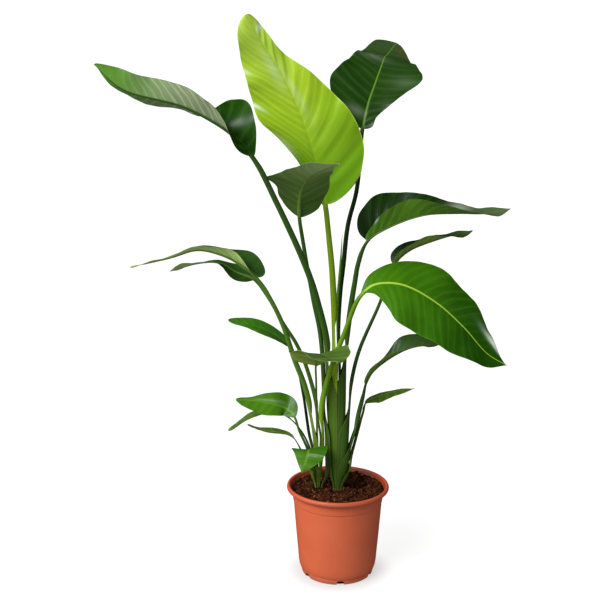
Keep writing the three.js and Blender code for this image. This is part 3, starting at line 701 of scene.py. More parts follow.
        colour = paint.blend(lower, upper, face)
        base = along.step(*self.BASE_RANGE) * self.base_share
        colour = paint.blend(colour, self.base_tone, base)
        tip = along.step(*self.TIP_RANGE) * self.tip_share
        colour = paint.blend(colour, self.tip_tone, tip)
        band = (1.0 - along * self.RIB_TAPER) * self.rib_half
        rib = (paint.value("spread") / band).step(*self.RIB_RANGE)
        colour = paint.blend(colour, self.rib, rib * self.rib_show)
        margin = side.step(*self.MARGIN_RANGE) * self.MARGIN_SHARE
        colour = paint.blend(colour, self.vein, margin)
        # Painted highlights: whitish patches where light glints on the blade.
        colour = paint.blend(colour, PAINTED_HIGHLIGHT, paint.value("bloom") * (0.8 + fine * 0.2))
        colour = paint.blend(colour, BROWN, paint.value("scar"))
        rough = self.ROUGHNESS - face * (self.ROUGHNESS - self.gloss)
        height = wide * 0.5 + fine * 0.3 + streak * 0.2
        inputs = {
            "Base Color": colour,
            "Roughness": rough + cloud * 0.08 - 0.04 + rib * 0.08,
            "Coat Weight": face * self.coat,
            "Coat Roughness": 0.3,
            "Specular IOR Level": 0.18,
            "Normal": paint.bump(height, self.BLADE_RELIEF, 0.5),
        }
        return paint.finish(inputs)

    def stem(self, name: str) -> bpy.types.Material:
        """Material of the sheath, the stalk and the midrib's keel.

        The colour follows the stage of the leaf: sheath up to 1, stalk up to 2, keel up to 3. Fine
        lines run lengthwise, and the open sheath has a thin brown margin.

        Args:
            name: Name of the finish.

        Returns:
            The material.
        """
        paint = Paint(name + "_stem")
        stage = paint.value("stage")
        turn = paint.value("turn")
        run = paint.value("run")
        across, length = self.STEM_LINES
        lines = paint.noise(paint.vector(turn * across, run / length, 0.0), 1.0)
        across, length = self.STEM_FINE_LINES
        fine = paint.noise(paint.vector(turn * across, run / length, 3.0), 1.0, 2.0)
        cloud = paint.noise(paint.place(), self.STEM_CLOUD_SCALE)

        light = lines.step(*self.STREAK_RANGE) * 0.55 + cloud * 0.45
        pale = toned(self.sheath, *self.PALE_SHEATH)
        sheath = paint.blend(toned(self.sheath, self.DEEP_SHEATH), pale, light)
        light = lines.step(0.2, 0.7) * 0.55 + cloud.step(*self.CLOUD_RANGE) * 0.45
        stalk = paint.blend(toned(self.stalk, self.DEEP_STALK), self.stalk, light)
        colour = paint.blend(sheath, stalk, stage.step(*self.STALK_STAGES))
        colour = paint.blend(colour, self.rib, stage.step(*self.KEEL_STAGES) * self.rib_show)
        dry = abs(turn).step(*self.DRY_TURNS) * stage.step(*self.OPEN_STAGES) * 0.55
        colour = paint.blend(colour, DRY_MARGIN, dry)
        stains = paint.noise(paint.place(), 90.0, 4.0).step(0.42, 0.7)
        colour = paint.blend(colour, BROWN, stains * stage.step(*self.FOOT_STAGES) * 0.7)
        inputs = {
            "Base Color": colour,
            "Roughness": 0.38 + cloud * 0.14,
            "Coat Weight": 0.05,
            "Coat Roughness": 0.25,
            "Specular IOR Level": 0.15,
            "Normal": paint.bump(lines * 0.6 + fine * 0.4, self.STEM_RELIEF, 0.7),
        }
        return paint.finish(inputs)


LIME = LeafFinish(
    slot="leaf_lime", upper=(0.42, 0.62, 0.014), shade=(0.25, 0.45, 0.004),
    lower=(0.33, 0.5, 0.05), vein=(0.56, 0.74, 0.12), rib=(0.24, 0.42, 0.02),
    stalk=(0.19, 0.33, 0.008), sheath=(0.24, 0.38, 0.008), gloss=0.38, coat=0.1, rib_show=0.55,
    base_tone=(0.1, 0.29, 0.0005), base_share=0.9, tip_tone=(0.4, 0.58, 0.09), tip_share=0.5,
)
BRIGHT = LeafFinish(
    slot="leaf_bright", upper=(0.037, 0.158, 0.001), shade=(0.012, 0.07, 0.0004),
    lower=(0.15, 0.27, 0.05), vein=(0.085, 0.26, 0.006), rib=(0.34, 0.55, 0.05),
    stalk=(0.14, 0.3, 0.008), sheath=(0.22, 0.36, 0.02), gloss=0.32, coat=0.1, stripes=0.3,
    base_tone=(0.08, 0.25, 0.003), base_share=0.4, tip_tone=(0.006, 0.045, 0.0004),
    tip_share=0.75, rib_half=3.5,
)
MIDDLE = LeafFinish(
    slot="leaf_middle", upper=(0.008, 0.038, 0.001), shade=(0.003, 0.02, 0.0005),
    lower=(0.09, 0.24, 0.006), vein=(0.03, 0.08, 0.01), rib=(0.1, 0.22, 0.03),
    stalk=(0.035, 0.1, 0.01), sheath=(0.045, 0.11, 0.007), gloss=0.34, coat=0.1,
    # The tip tone is a painted greyish sheen.
    tip_tone=(0.09, 0.15, 0.06), tip_share=0.8,
)
DARK = LeafFinish(
    slot="leaf_dark", upper=(0.02, 0.075, 0.004), shade=(0.007, 0.036, 0.0015),
    lower=(0.06, 0.12, 0.02), vein=(0.05, 0.11, 0.025), rib=(0.14, 0.28, 0.02),
    stalk=(0.012, 0.04, 0.005), sheath=(0.04, 0.11, 0.008), gloss=0.34, coat=0.12,
    tip_tone=(0.06, 0.1, 0.035), tip_share=0.5,
)
OLIVE = LeafFinish(
    slot="leaf_olive", upper=(0.08, 0.16, 0.014), shade=(0.04, 0.095, 0.006),
    lower=(0.22, 0.33, 0.04), vein=(0.13, 0.21, 0.04), rib=(0.17, 0.28, 0.05),
    stalk=(0.06, 0.13, 0.014), sheath=(0.09, 0.17, 0.014), gloss=0.42, coat=0.1,
)


class Finish(Enum):
    """Finishes of the leaves: one for each kind, and its variants."""

    LIME = LIME
    BRIGHT = BRIGHT
    YOUNG = replace(
        BRIGHT, upper=(0.08, 0.24, 0.008), shade=(0.035, 0.13, 0.002), lower=(0.09, 0.2, 0.02),
        rib=(0.14, 0.3, 0.02), rib_show=0.6, stalk=(0.06, 0.16, 0.008), sheath=(0.12, 0.21, 0.01),
        gloss=0.36, base_tone=(0.02, 0.09, 0.001), base_share=0.6, tip_share=0.2,
    )
    MIDDLE = MIDDLE
    NARROW = replace(
        MIDDLE, upper=(0.022, 0.078, 0.012), shade=(0.01, 0.042, 0.006), lower=(0.16, 0.28, 0.035),
        rib=(0.1, 0.2, 0.03), rib_show=0.7, gloss=0.36, coat=0.2, tip_tone=(0.14, 0.22, 0.06),
        tip_share=0.4,
    )
    PALE = replace(
        MIDDLE, upper=(0.035, 0.11, 0.014), shade=(0.016, 0.06, 0.005), lower=(0.36, 0.52, 0.15),
        rib=(0.15, 0.27, 0.05), stalk=(0.08, 0.19, 0.02), sheath=(0.13, 0.23, 0.014), gloss=0.36,
        tip_tone=(0.28, 0.4, 0.13), tip_share=0.9,
    )
    DARK = DARK
    SILVER = replace(
        DARK, upper=(0.02, 0.09, 0.001), shade=(0.004, 0.03, 0.0005), lower=(0.27, 0.34, 0.18),
        rib=(0.03, 0.09, 0.01), stalk=(0.045, 0.12, 0.015), sheath=(0.062, 0.135, 0.005),
        gloss=0.36, coat=0.08, under_stripes=0.95, fresh_tip=0.8, tip_tone=(0.1, 0.28, 0.015),
        tip_share=0.85,
    )
    # Its darker base tone is painted shade and its paler tip tone a painted highlight.
    SHADED = replace(
        DARK, lower=(0.13, 0.24, 0.04), rib=(0.16, 0.28, 0.04), stalk=(0.04, 0.11, 0.014),
        under_stripes=0.6, base_tone=(0.022, 0.07, 0.004), base_share=0.7,
        tip_tone=(0.34, 0.47, 0.2), tip_share=0.9,
    )
    SHORT = replace(
        DARK, upper=(0.07, 0.29, 0.008), shade=(0.03, 0.13, 0.004), lower=(0.08, 0.24, 0.02),
        rib_show=0.35, stripes=0.35, base_tone=(0.03, 0.09, 0.02), base_share=0.8, tip_share=0.1,
    )
    OLIVE = OLIVE
    CURLED = replace(
        OLIVE, upper=(0.1, 0.2, 0.03), shade=(0.055, 0.13, 0.014), vein=(0.22, 0.32, 0.12),
    )
    STRIP = replace(OLIVE, upper=(0.09, 0.16, 0.025), rib_show=0.4, stalk=(0.05, 0.1, 0.014))


# Leaves


class Side(Enum):
    """Rank of the fan that a leaf stands in."""

    LEFT = -1
    RIGHT = 1


@dataclass(frozen=True)
class Fan:
    """A fan of leaves: its centre, and how far apart and how broad its sheaths are."""

    x: float
    y: float
    core: float
    step: float
    breadth: float
    breadth_step: float

    FOOT = 168.0
    NARROW = 204.0
    FULL = 262.0
    FOOT_SPREAD = 0.38
    HEIGHTS = (FOOT, NARROW, 220.0, 240.0, FULL)

    def spread(self, height: Array) -> Array:
        """How far the fan has opened at a height, from its narrow foot to 1 above the rim."""
        share = smooth((height - self.NARROW) / (self.FULL - self.NARROW))
        return mix(self.FOOT_SPREAD, 1.0, share)


@dataclass(frozen=True)
class HalfBlade:
    """One half of a blade.

    Attributes:
        widths: Width at stations from base to tip, closer together near the base.
        fold: Angles in degrees at which the half leaves the midrib, from base to tip.
        wave: Height of the margin's waves.
        curl: Angles in degrees through which it bends on the way to the margin.
        sweep: Power by which the side veins lean forward.
        lobe: Share of the blade by which the base reaches back.
        lean: Share of the blade by which the side veins lean forward beyond that.
    """

    widths: tuple[float, ...]
    fold: tuple[float, ...]
    wave: float
    curl: tuple[float, ...] = (0, 0)
    sweep: float = 0.78
    lobe: float = 0.03
    lean: float = 0.05


@dataclass(frozen=True)
class Weave:
    """How finely a blade is drawn, and what its surface carries.

    Attributes:
        rows: Points from base to tip.
        columns: Points from midrib to margin.
        thickness: Thickness of the blade.
        waves: Waves along a margin.
        pleats: Shallow folds along the veins.
        depth: Height of a fold.
    """

    rows: int
    columns: int
    thickness: float
    waves: float
    pleats: float
    depth: float


@dataclass(frozen=True)
class Patch:
    """Place on a blade, across from -1 at the left margin to 1, and along from base to tip."""

    across: float
    along: float
    reach_across: float
    reach_along: float
    strength: float = 1.0
    slant: float = 0.0


LARGE = Weave(170, 30, 0.8, 4, 15, 0.4)
PLEATED = Weave(210, 36, 0.8, 4, 12, 1.3)
MEDIUM = Weave(120, 20, 0.75, 3, 12, 0.3)
SMALL = Weave(90, 14, 0.75, 2, 8, 0.25)


@dataclass(frozen=True)
class LeafPlan:
    """Everything that makes one leaf.

    Attributes:
        name: Node that the leaf stands for.
        fan: Fan that it grows in.
        side: Rank of the fan.
        rank: Place in the rank, from the innermost.
        sheath: Heights between which the sheath closes to a stalk.
        stem: Thickness of the stalk.
        stalk: Knots of the stalk.
        midrib: Knots of the midrib.
        faces: Directions that the upper face looks in, from base to tip.
        left: Left half, seen from above with the tip ahead.
        right: Right half.
        weave: Fineness and surface.
        finish: Colours and gloss.
        scars: Brown places.
        highlight_patches: Places with a painted whitish highlight.
        clasp: How far the sheath reaches round the leaves inside it.
    """

    name: str
    fan: Fan
    side: Side
    rank: int
    sheath: tuple[float, float]
    stem: float
    stalk: tuple[Point, ...]
    midrib: tuple[Point, ...]
    faces: tuple[Point, ...]
    left: HalfBlade
    right: HalfBlade
    weave: Weave
    finish: Finish
    scars: tuple[Patch, ...] = ()
    highlight_patches: tuple[Patch, ...] = ()
    clasp: float = 1.0


@dataclass
class Frames:
    """Points of a leaf's line with the directions there, each in rows."""

    point: Array
    tangent: Array
    up: Array
    right: Array

    def corner(self, across: Array, up: Array) -> Array:
        """Rings of points round the line, each point moved sideways and upwards from it."""
        aside = self.right[:, None] * across[..., None]
        return self.point[:, None] + aside + self.up[:, None] * up[..., None]


class Leaf:
    """One leaf: sheath, stalk, midrib and blade along a single line.

    Numbers of the sheath come first, then those of the stalk, the midrib, the blade and its pleats.
    """

    WIDEST_RANK = 3
    OUTER_CLASP = 0.4
    OUTER_STEP = 1.7
    MARGIN_GAP = 0.5
    WALL = 0.65
    EDGE = 1.3
    THINNEST_EDGE = 0.65
    SHOULDER = 1.3
    STALK_DEPTH = 1.85
    STALK_EDGE = 0.05
    RIB_RUN = 45.0
    RIB_REACH = 0.9
    RIB_HEIGHT = 0.62
    RIB_TAPER = 0.8
    RIB_TIP = 1.2
    RIB_TIP_HALF = 0.9
    RIB_EDGE = 0.1
    RIB_BACKS = (0.5, 0.8)
    RIB_CLOSING = 12
    ARC_POINTS = 13
    RING_SPACING = 6.0
    PROBES = 800
    BASE_ROUNDING = 0.05
    TIP_ROUNDING = 0.14
    STATION_CROWDING = 1.5
    ROW_CROWDING = 1.4
    COLUMN_CROWDING = 1.15
    FIRST_ROW = 0.0004
    LEAST_BEND = 1e-3
    SINK = 0.5
    GROOVE = 0.16
    GROOVE_REACH = 3.0
    VEIN_LEAN_POWER = 1.3
    PLEAT_ENDS = (0.08, 0.15)
    PLEAT_START = 0.35
    PLEAT_AT_MARGIN = 0.55
    PLEAT_DRIFT = 0.05
    PLEAT_TURN = 5
    FRILL = 1.4
    FRILL_CELL = 19.0
    FRILL_ACROSS = 20
    FRILL_APART = 50

    def __init__(self, plan: LeafPlan) -> None:
        """Lay the line of the leaf.

        Args:
            plan: The leaf's plan.
        """
        self.plan = plan
        fan = plan.fan
        reach = plan.side.value * (fan.core + fan.step * plan.rank)
        heights = np.array(fan.HEIGHTS)
        foot = [(x, fan.y, z) for x, z in zip(fan.x + reach * fan.spread(heights), heights)]
        self.line = Line([*foot, *plan.stalk, *plan.midrib])
        self.base = float(self.line.lengths[Line.STEPS * (len(foot) + len(plan.stalk) - 1)])
        self.blade = self.line.total - self.base
        self.sheath_end = float(self.distance_at(np.array([plan.sheath[1]]))[0])

    def distance_at(self, heights: Array) -> Array:
        """Where the stalk reaches heights.

        Args:
            heights: The heights.

        Returns:
            Distances from the foot.
        """
        distances = np.linspace(0.0, self.base, self.PROBES)
        rising = np.maximum.accumulate(self.line.point(distances)[:, 2]) + distances * 1e-7
        return np.interp(heights, rising, distances)

    def closed(self, height: Array) -> Array:
        """How far the sheath has closed at a height, from 0 to 1."""
        low, high = self.plan.sheath
        return np.clip((height - low) / (high - low), 0.0, 1.0)

    def face_at(self, distance: Array) -> Array:
        """Direction of the upper face: it turns along the stalk, then follows the plan's faces.

        Args:
            distance: Distances from the foot.

        Returns:
            Directions, not yet of length one.
        """
        faces = np.asarray(self.plan.faces, float)
        start = np.array([-float(self.plan.side.value), 0.0, 0.0])
        turn = smooth((distance - self.sheath_end) / (self.base - self.sheath_end))
        below = mix(start, faces[0], turn[..., None])
        above = through(faces, (distance - self.base) / self.blade)
        return np.where((distance < self.base)[..., None], below, above)

    def frames(self, distance: Array) -> Frames:
        """Points and directions of the line.

        The rings stay level while the sheath is open, so there the tangent is turned upwards.

        Args:
            distance: Distances from the foot.

        Returns:
            The frames.
        """
        held = np.clip(distance, 0.0, self.line.total)
        point = self.line.point(held)
        share = 1.0 - smooth(self.closed(point[..., 2]))
        tangent = unit(mix(self.line.direction(held), UPWARD, share[..., None]))
        up = self.face_at(distance)
        up = unit(up - tangent * np.sum(up * tangent, axis=-1, keepdims=True))
        return Frames(point, tangent, up, np.cross(tangent, up))

    def rib_height(self, forward: Array) -> Array:
        """Height of the midrib below the blade at a distance from the blade's base."""
        t = np.clip(forward / self.blade, 0.0, 1.0)
        return mix(self.RIB_HEIGHT * self.plan.stem, self.RIB_TIP, t**self.RIB_TAPER)

    def crescents(self, distance: Array, point: Array) -> tuple[Array, Array, Array, Array]:
        """Sizes of the crescents that make the stem.

        Up the leaf the crescent closes and becomes a round stalk, then a thin keel.

        Args:
            distance: Distances from the foot.
            point: Points of the line there.

        Returns:
            Half widths, depths of the back, thicknesses in the middle and at the edge.
        """
        plan, fan = self.plan, self.plan.fan
        spread = fan.spread(point[:, 2])
        closed = self.closed(point[:, 2])
        parting = smooth(2 * closed)
        rounding = smooth(2 * closed - 1)
        thinning = smooth((distance - self.sheath_end) / (self.base - self.sheath_end))
        inner = min(plan.rank, self.WIDEST_RANK)
        open_half = fan.breadth + fan.breadth_step * inner + self.OUTER_STEP * (plan.rank - inner)
        clasp = self.OUTER_CLASP if plan.rank > self.WIDEST_RANK else plan.clasp
        open_depth = clasp * (plan.side.value * (point[:, 0] - fan.x) - self.MARGIN_GAP)
        open_edge = np.maximum(self.THINNEST_EDGE, self.EDGE * spread)
        stalk = plan.stem / 2
        wide = mix(self.SHOULDER * stalk, stalk, thinning)
        settling = smooth((distance - self.base + self.RIB_RUN) / self.RIB_RUN)
        deep = mix(self.STALK_DEPTH * wide, self.RIB_HEIGHT * plan.stem, settling)
        half = mix(open_half * spread, wide, rounding)
        depth = mix(open_depth, 0.5 * deep, parting)
        thick = mix(fan.step * self.WALL * spread, deep, rounding)
        edge = mix(open_edge, self.STALK_EDGE * wide, rounding)

        beyond = distance > self.base
        t = np.clip((distance - self.base) / (self.RIB_REACH * self.blade), 0.0, 1.0)
        t = t**self.RIB_TAPER
        rise = mix(self.RIB_HEIGHT * plan.stem, self.RIB_TIP, t)
        keel = (1 - self.GROOVE) * rise - self.SINK
        half = np.where(beyond, mix(stalk, self.RIB_TIP_HALF, t), half)
        thick = np.where(beyond, mix(rise, keel, smooth(self.RIB_CLOSING * t)), thick)
        depth = np.where(beyond, thick * mix(*self.RIB_BACKS, t), depth)
        edge = np.where(beyond, self.RIB_EDGE * half, edge)
        return half, depth, thick, edge

    def stages(self, distance: Array, height: Array) -> Array:
        """Stage of the leaf: the sheath counts up to 1, the stalk to 2 and the keel to 3.

        Args:
            distance: Distances from the foot.
            height: Heights there.

        Returns:
            The stages.
        """
        foot = self.plan.fan.FOOT
        sheath = np.clip((height - foot) / (self.plan.sheath[1] - foot), 0, 1)
        stalk = 1 + (distance - self.sheath_end) / (self.base - self.sheath_end)
        stage = np.where(distance < self.sheath_end, sheath, stalk)
        return np.where(distance > self.base, 2 + (distance - self.base) / self.blade, stage)

    def stem_shell(self) -> Shell:
        """Sheath, stalk and keel: crescents whose backs lie on the line.

        A crescent's back is x = half sin a, y = depth (1 - cos a) and its open side is
        x = (half - edge) sin a, y = thick + (depth - thick)(1 - cos a), for a from -90 to 90
        degrees.

        Returns:
            The shell.
        """
        end = self.base + self.RIB_REACH * self.blade
        distance = np.linspace(0.0, end, int(end / self.RING_SPACING))
        frames = self.frames(distance)
        half, depth, thick, edge = self.crescents(distance, frames.point)
        angles = np.linspace(-np.pi / 2, np.pi / 2, self.ARC_POINTS)
        sine, rest = np.sin(angles), 1 - np.cos(angles)
        back = (np.outer(half, sine), np.outer(depth, rest))
        front = (np.outer(half - edge, sine), thick[:, None] + np.outer(depth - thick, rest))
        across = np.concatenate([front[0], back[0][:, ::-1]], axis=1)
        up = np.concatenate([front[1], back[1][:, ::-1]], axis=1)
        shell = skin(frames.corner(across, up))
        ring = 2 * self.ARC_POINTS
        turn = np.concatenate([angles, angles[::-1]]) / (np.pi / 2)
        shell.values = {
            "turn": np.tile(turn, len(distance)),
            "run": np.repeat(distance, ring),
            "stage": np.repeat(self.stages(distance, frames.point[:, 2]), ring),
        }
        shell.coat = 1
        return shell

    def half_blade(
        self, half: HalfBlade, side: int, u: Array, v: Array
    ) -> tuple[Array, Array, Array]:
        """Points of one half of the blade.

        A side vein starts at v on the midrib and ends at the place v to the power of its sweep on
        the margin. Across the blade the half is an arc that leaves the midrib at its fold and bends
        by its curl, and its waves grow with the square of u. The width is rounded off like an
        ellipse at the base and the tip. Pleats follow the veins, and a narrow groove lies over the
        midrib.

        Args:
            half: The half's plan.
            side: -1 for left, 1 for right.
            u: Shares of the way from midrib to margin.
            v: Starts of the veins, from 0 at the base to 1.

        Returns:
            The points, their distances from the midrib, and the places in millimetres along the
            midrib where their side veins start.
        """
        weave = self.plan.weave
        base = np.sqrt(1 - np.maximum(0.0, 1 - v / self.BASE_ROUNDING) ** 2)
        tip = np.sqrt(1 - np.clip((v - 1) / self.TIP_ROUNDING + 1, 0.0, 1.0) ** 2)
        forward = self.blade * mix(v, (1 + half.lobe) * v**half.sweep - half.lobe, u * base)
        across = curved(np.array(half.widths), v ** (1 / self.STATION_CROWDING)) * base * tip * u
        frames = self.frames(self.base + np.maximum(0.0, forward))
        frames.point = frames.point + frames.tangent * np.minimum(0.0, forward)[..., None]
        t = np.clip(forward / self.blade, 0.0, 1.0)
        fold = np.radians(through(np.array(half.fold), t))
        bend = np.radians(through(np.array(half.curl), t))
        bend = np.where(np.abs(bend) < self.LEAST_BEND, self.LEAST_BEND, bend)
        wide = max(half.widths)
        slope = fold + bend * across / wide
        out = wide / bend * (np.sin(slope) - np.sin(fold))
        rise = wide / bend * (np.cos(fold) - np.cos(slope))
        rib = self.rib_height(forward)
        groove = self.GROOVE * rib * np.exp(-((across / self.GROOVE_REACH) ** 2))
        rise = rise + rib - self.SINK - groove
        wave = half.wave * u * u * np.sin(2 * np.pi * weave.waves * v + side)
        vein = v - half.lean * u**self.VEIN_LEAN_POWER
        first, last = self.PLEAT_ENDS
        ends = smooth(v / first) * smooth((1 - v) / last)
        drift = self.PLEAT_DRIFT * np.sin(self.PLEAT_TURN * vein + side)
        pleat = np.sin(2 * np.pi * weave.pleats * (vein + drift))
        fade = smooth(u / self.PLEAT_START) * mix(1.0, self.PLEAT_AT_MARGIN, u)
        aside = u * self.FRILL_ACROSS + self.FRILL_APART * side
        frill = grain(v * self.blade, aside, self.FRILL_CELL, SEED + self.plan.rank)
        wave = wave + ends * weave.depth * (pleat * fade + self.FRILL * frill * u**3)
        points = frames.point + frames.right * (side * (out - wave * np.sin(slope)))[..., None]
        points = points + frames.up * (rise + wave * np.cos(slope))[..., None]
        return points, across, vein * self.blade

    @staticmethod
    def patches(places: tuple[Patch, ...], across: Array, along: Array) -> Array:
        """Strength of soft patches on the blade: exp(-d squared) at d reaches from the middle.

        Args:
            places: The patches.
            across: Places of the points across the blade.
            along: Places of the points along it.

        Returns:
            The strongest patch at each point, from 0 to 1.
        """
        strength = np.zeros(len(across))
        for place in places:
            sideways = across - place.across
            forwards = along - place.along + place.slant * sideways
            away = (sideways / place.reach_across) ** 2 + (forwards / place.reach_along) ** 2
            strength = np.maximum(strength, place.strength * np.exp(-away))
        return strength

    @staticmethod
    def joined(left: Array, right: Array, tip: float) -> Array:
        """Values of both halves row by row, and then the value of the tip."""
        return np.append(np.concatenate([left, right], axis=1), tip)

    def blade_shell(self) -> Shell:
        """Blade as a closed thin sheet.

        Returns:
            The shell, with the place of each point on the leaf.
        """
        plan = self.plan
        weave = plan.weave
        row = np.linspace(0.0, 1.0, weave.rows + 1)[:-1]
        column = np.linspace(0.0, 1.0, weave.columns + 1)
        v = mix(self.FIRST_ROW, 1.0, row**self.ROW_CROWDING)
        u = 1 - (1 - column) ** self.COLUMN_CROWDING
        left_u, left_v = np.meshgrid(u[:0:-1], v)
        right_u, right_v = np.meshgrid(u, v)
        left, left_across, left_run = self.half_blade(plan.left, -1, left_u, left_v)
        right, right_across, right_run = self.half_blade(plan.right, 1, right_u, right_v)
        tip = self.half_blade(plan.right, 1, np.zeros(1), np.ones(1))[0]
        shell = sheet(np.concatenate([left, right], axis=1), tip, weave.thickness)
        across = self.joined(-left_u, right_u, 0.0)
        along = self.joined(left_v, right_v, 1.0)
        values = {
            "across": across,
            "along": along,
            "run": self.joined(left_run, right_run, self.blade),
            "spread": self.joined(left_across, right_across, 0.0),
            "scar": self.patches(plan.scars, across, along),
            # Strength of the painted highlights at each point.
            "bloom": self.patches(plan.highlight_patches, across, along),
        }
        shell.values = {key: np.tile(value, 2) for key, value in values.items()}
        shell.values["face"] = np.repeat([1.0, 0.0], len(across))
        return shell

    def build(self, materials: dict[Finish, list[bpy.types.Material]]) -> None:
        """Make the leaf's piece.

        Args:
            materials: Blade and stem material of each finish.
        """
        plan = self.plan
        shells = [self.blade_shell(), self.stem_shell()]
        piece = make_piece(plan.name + "_grown", shells, materials[plan.finish], LEAF_CREASE)
        settle(piece, plan.name)


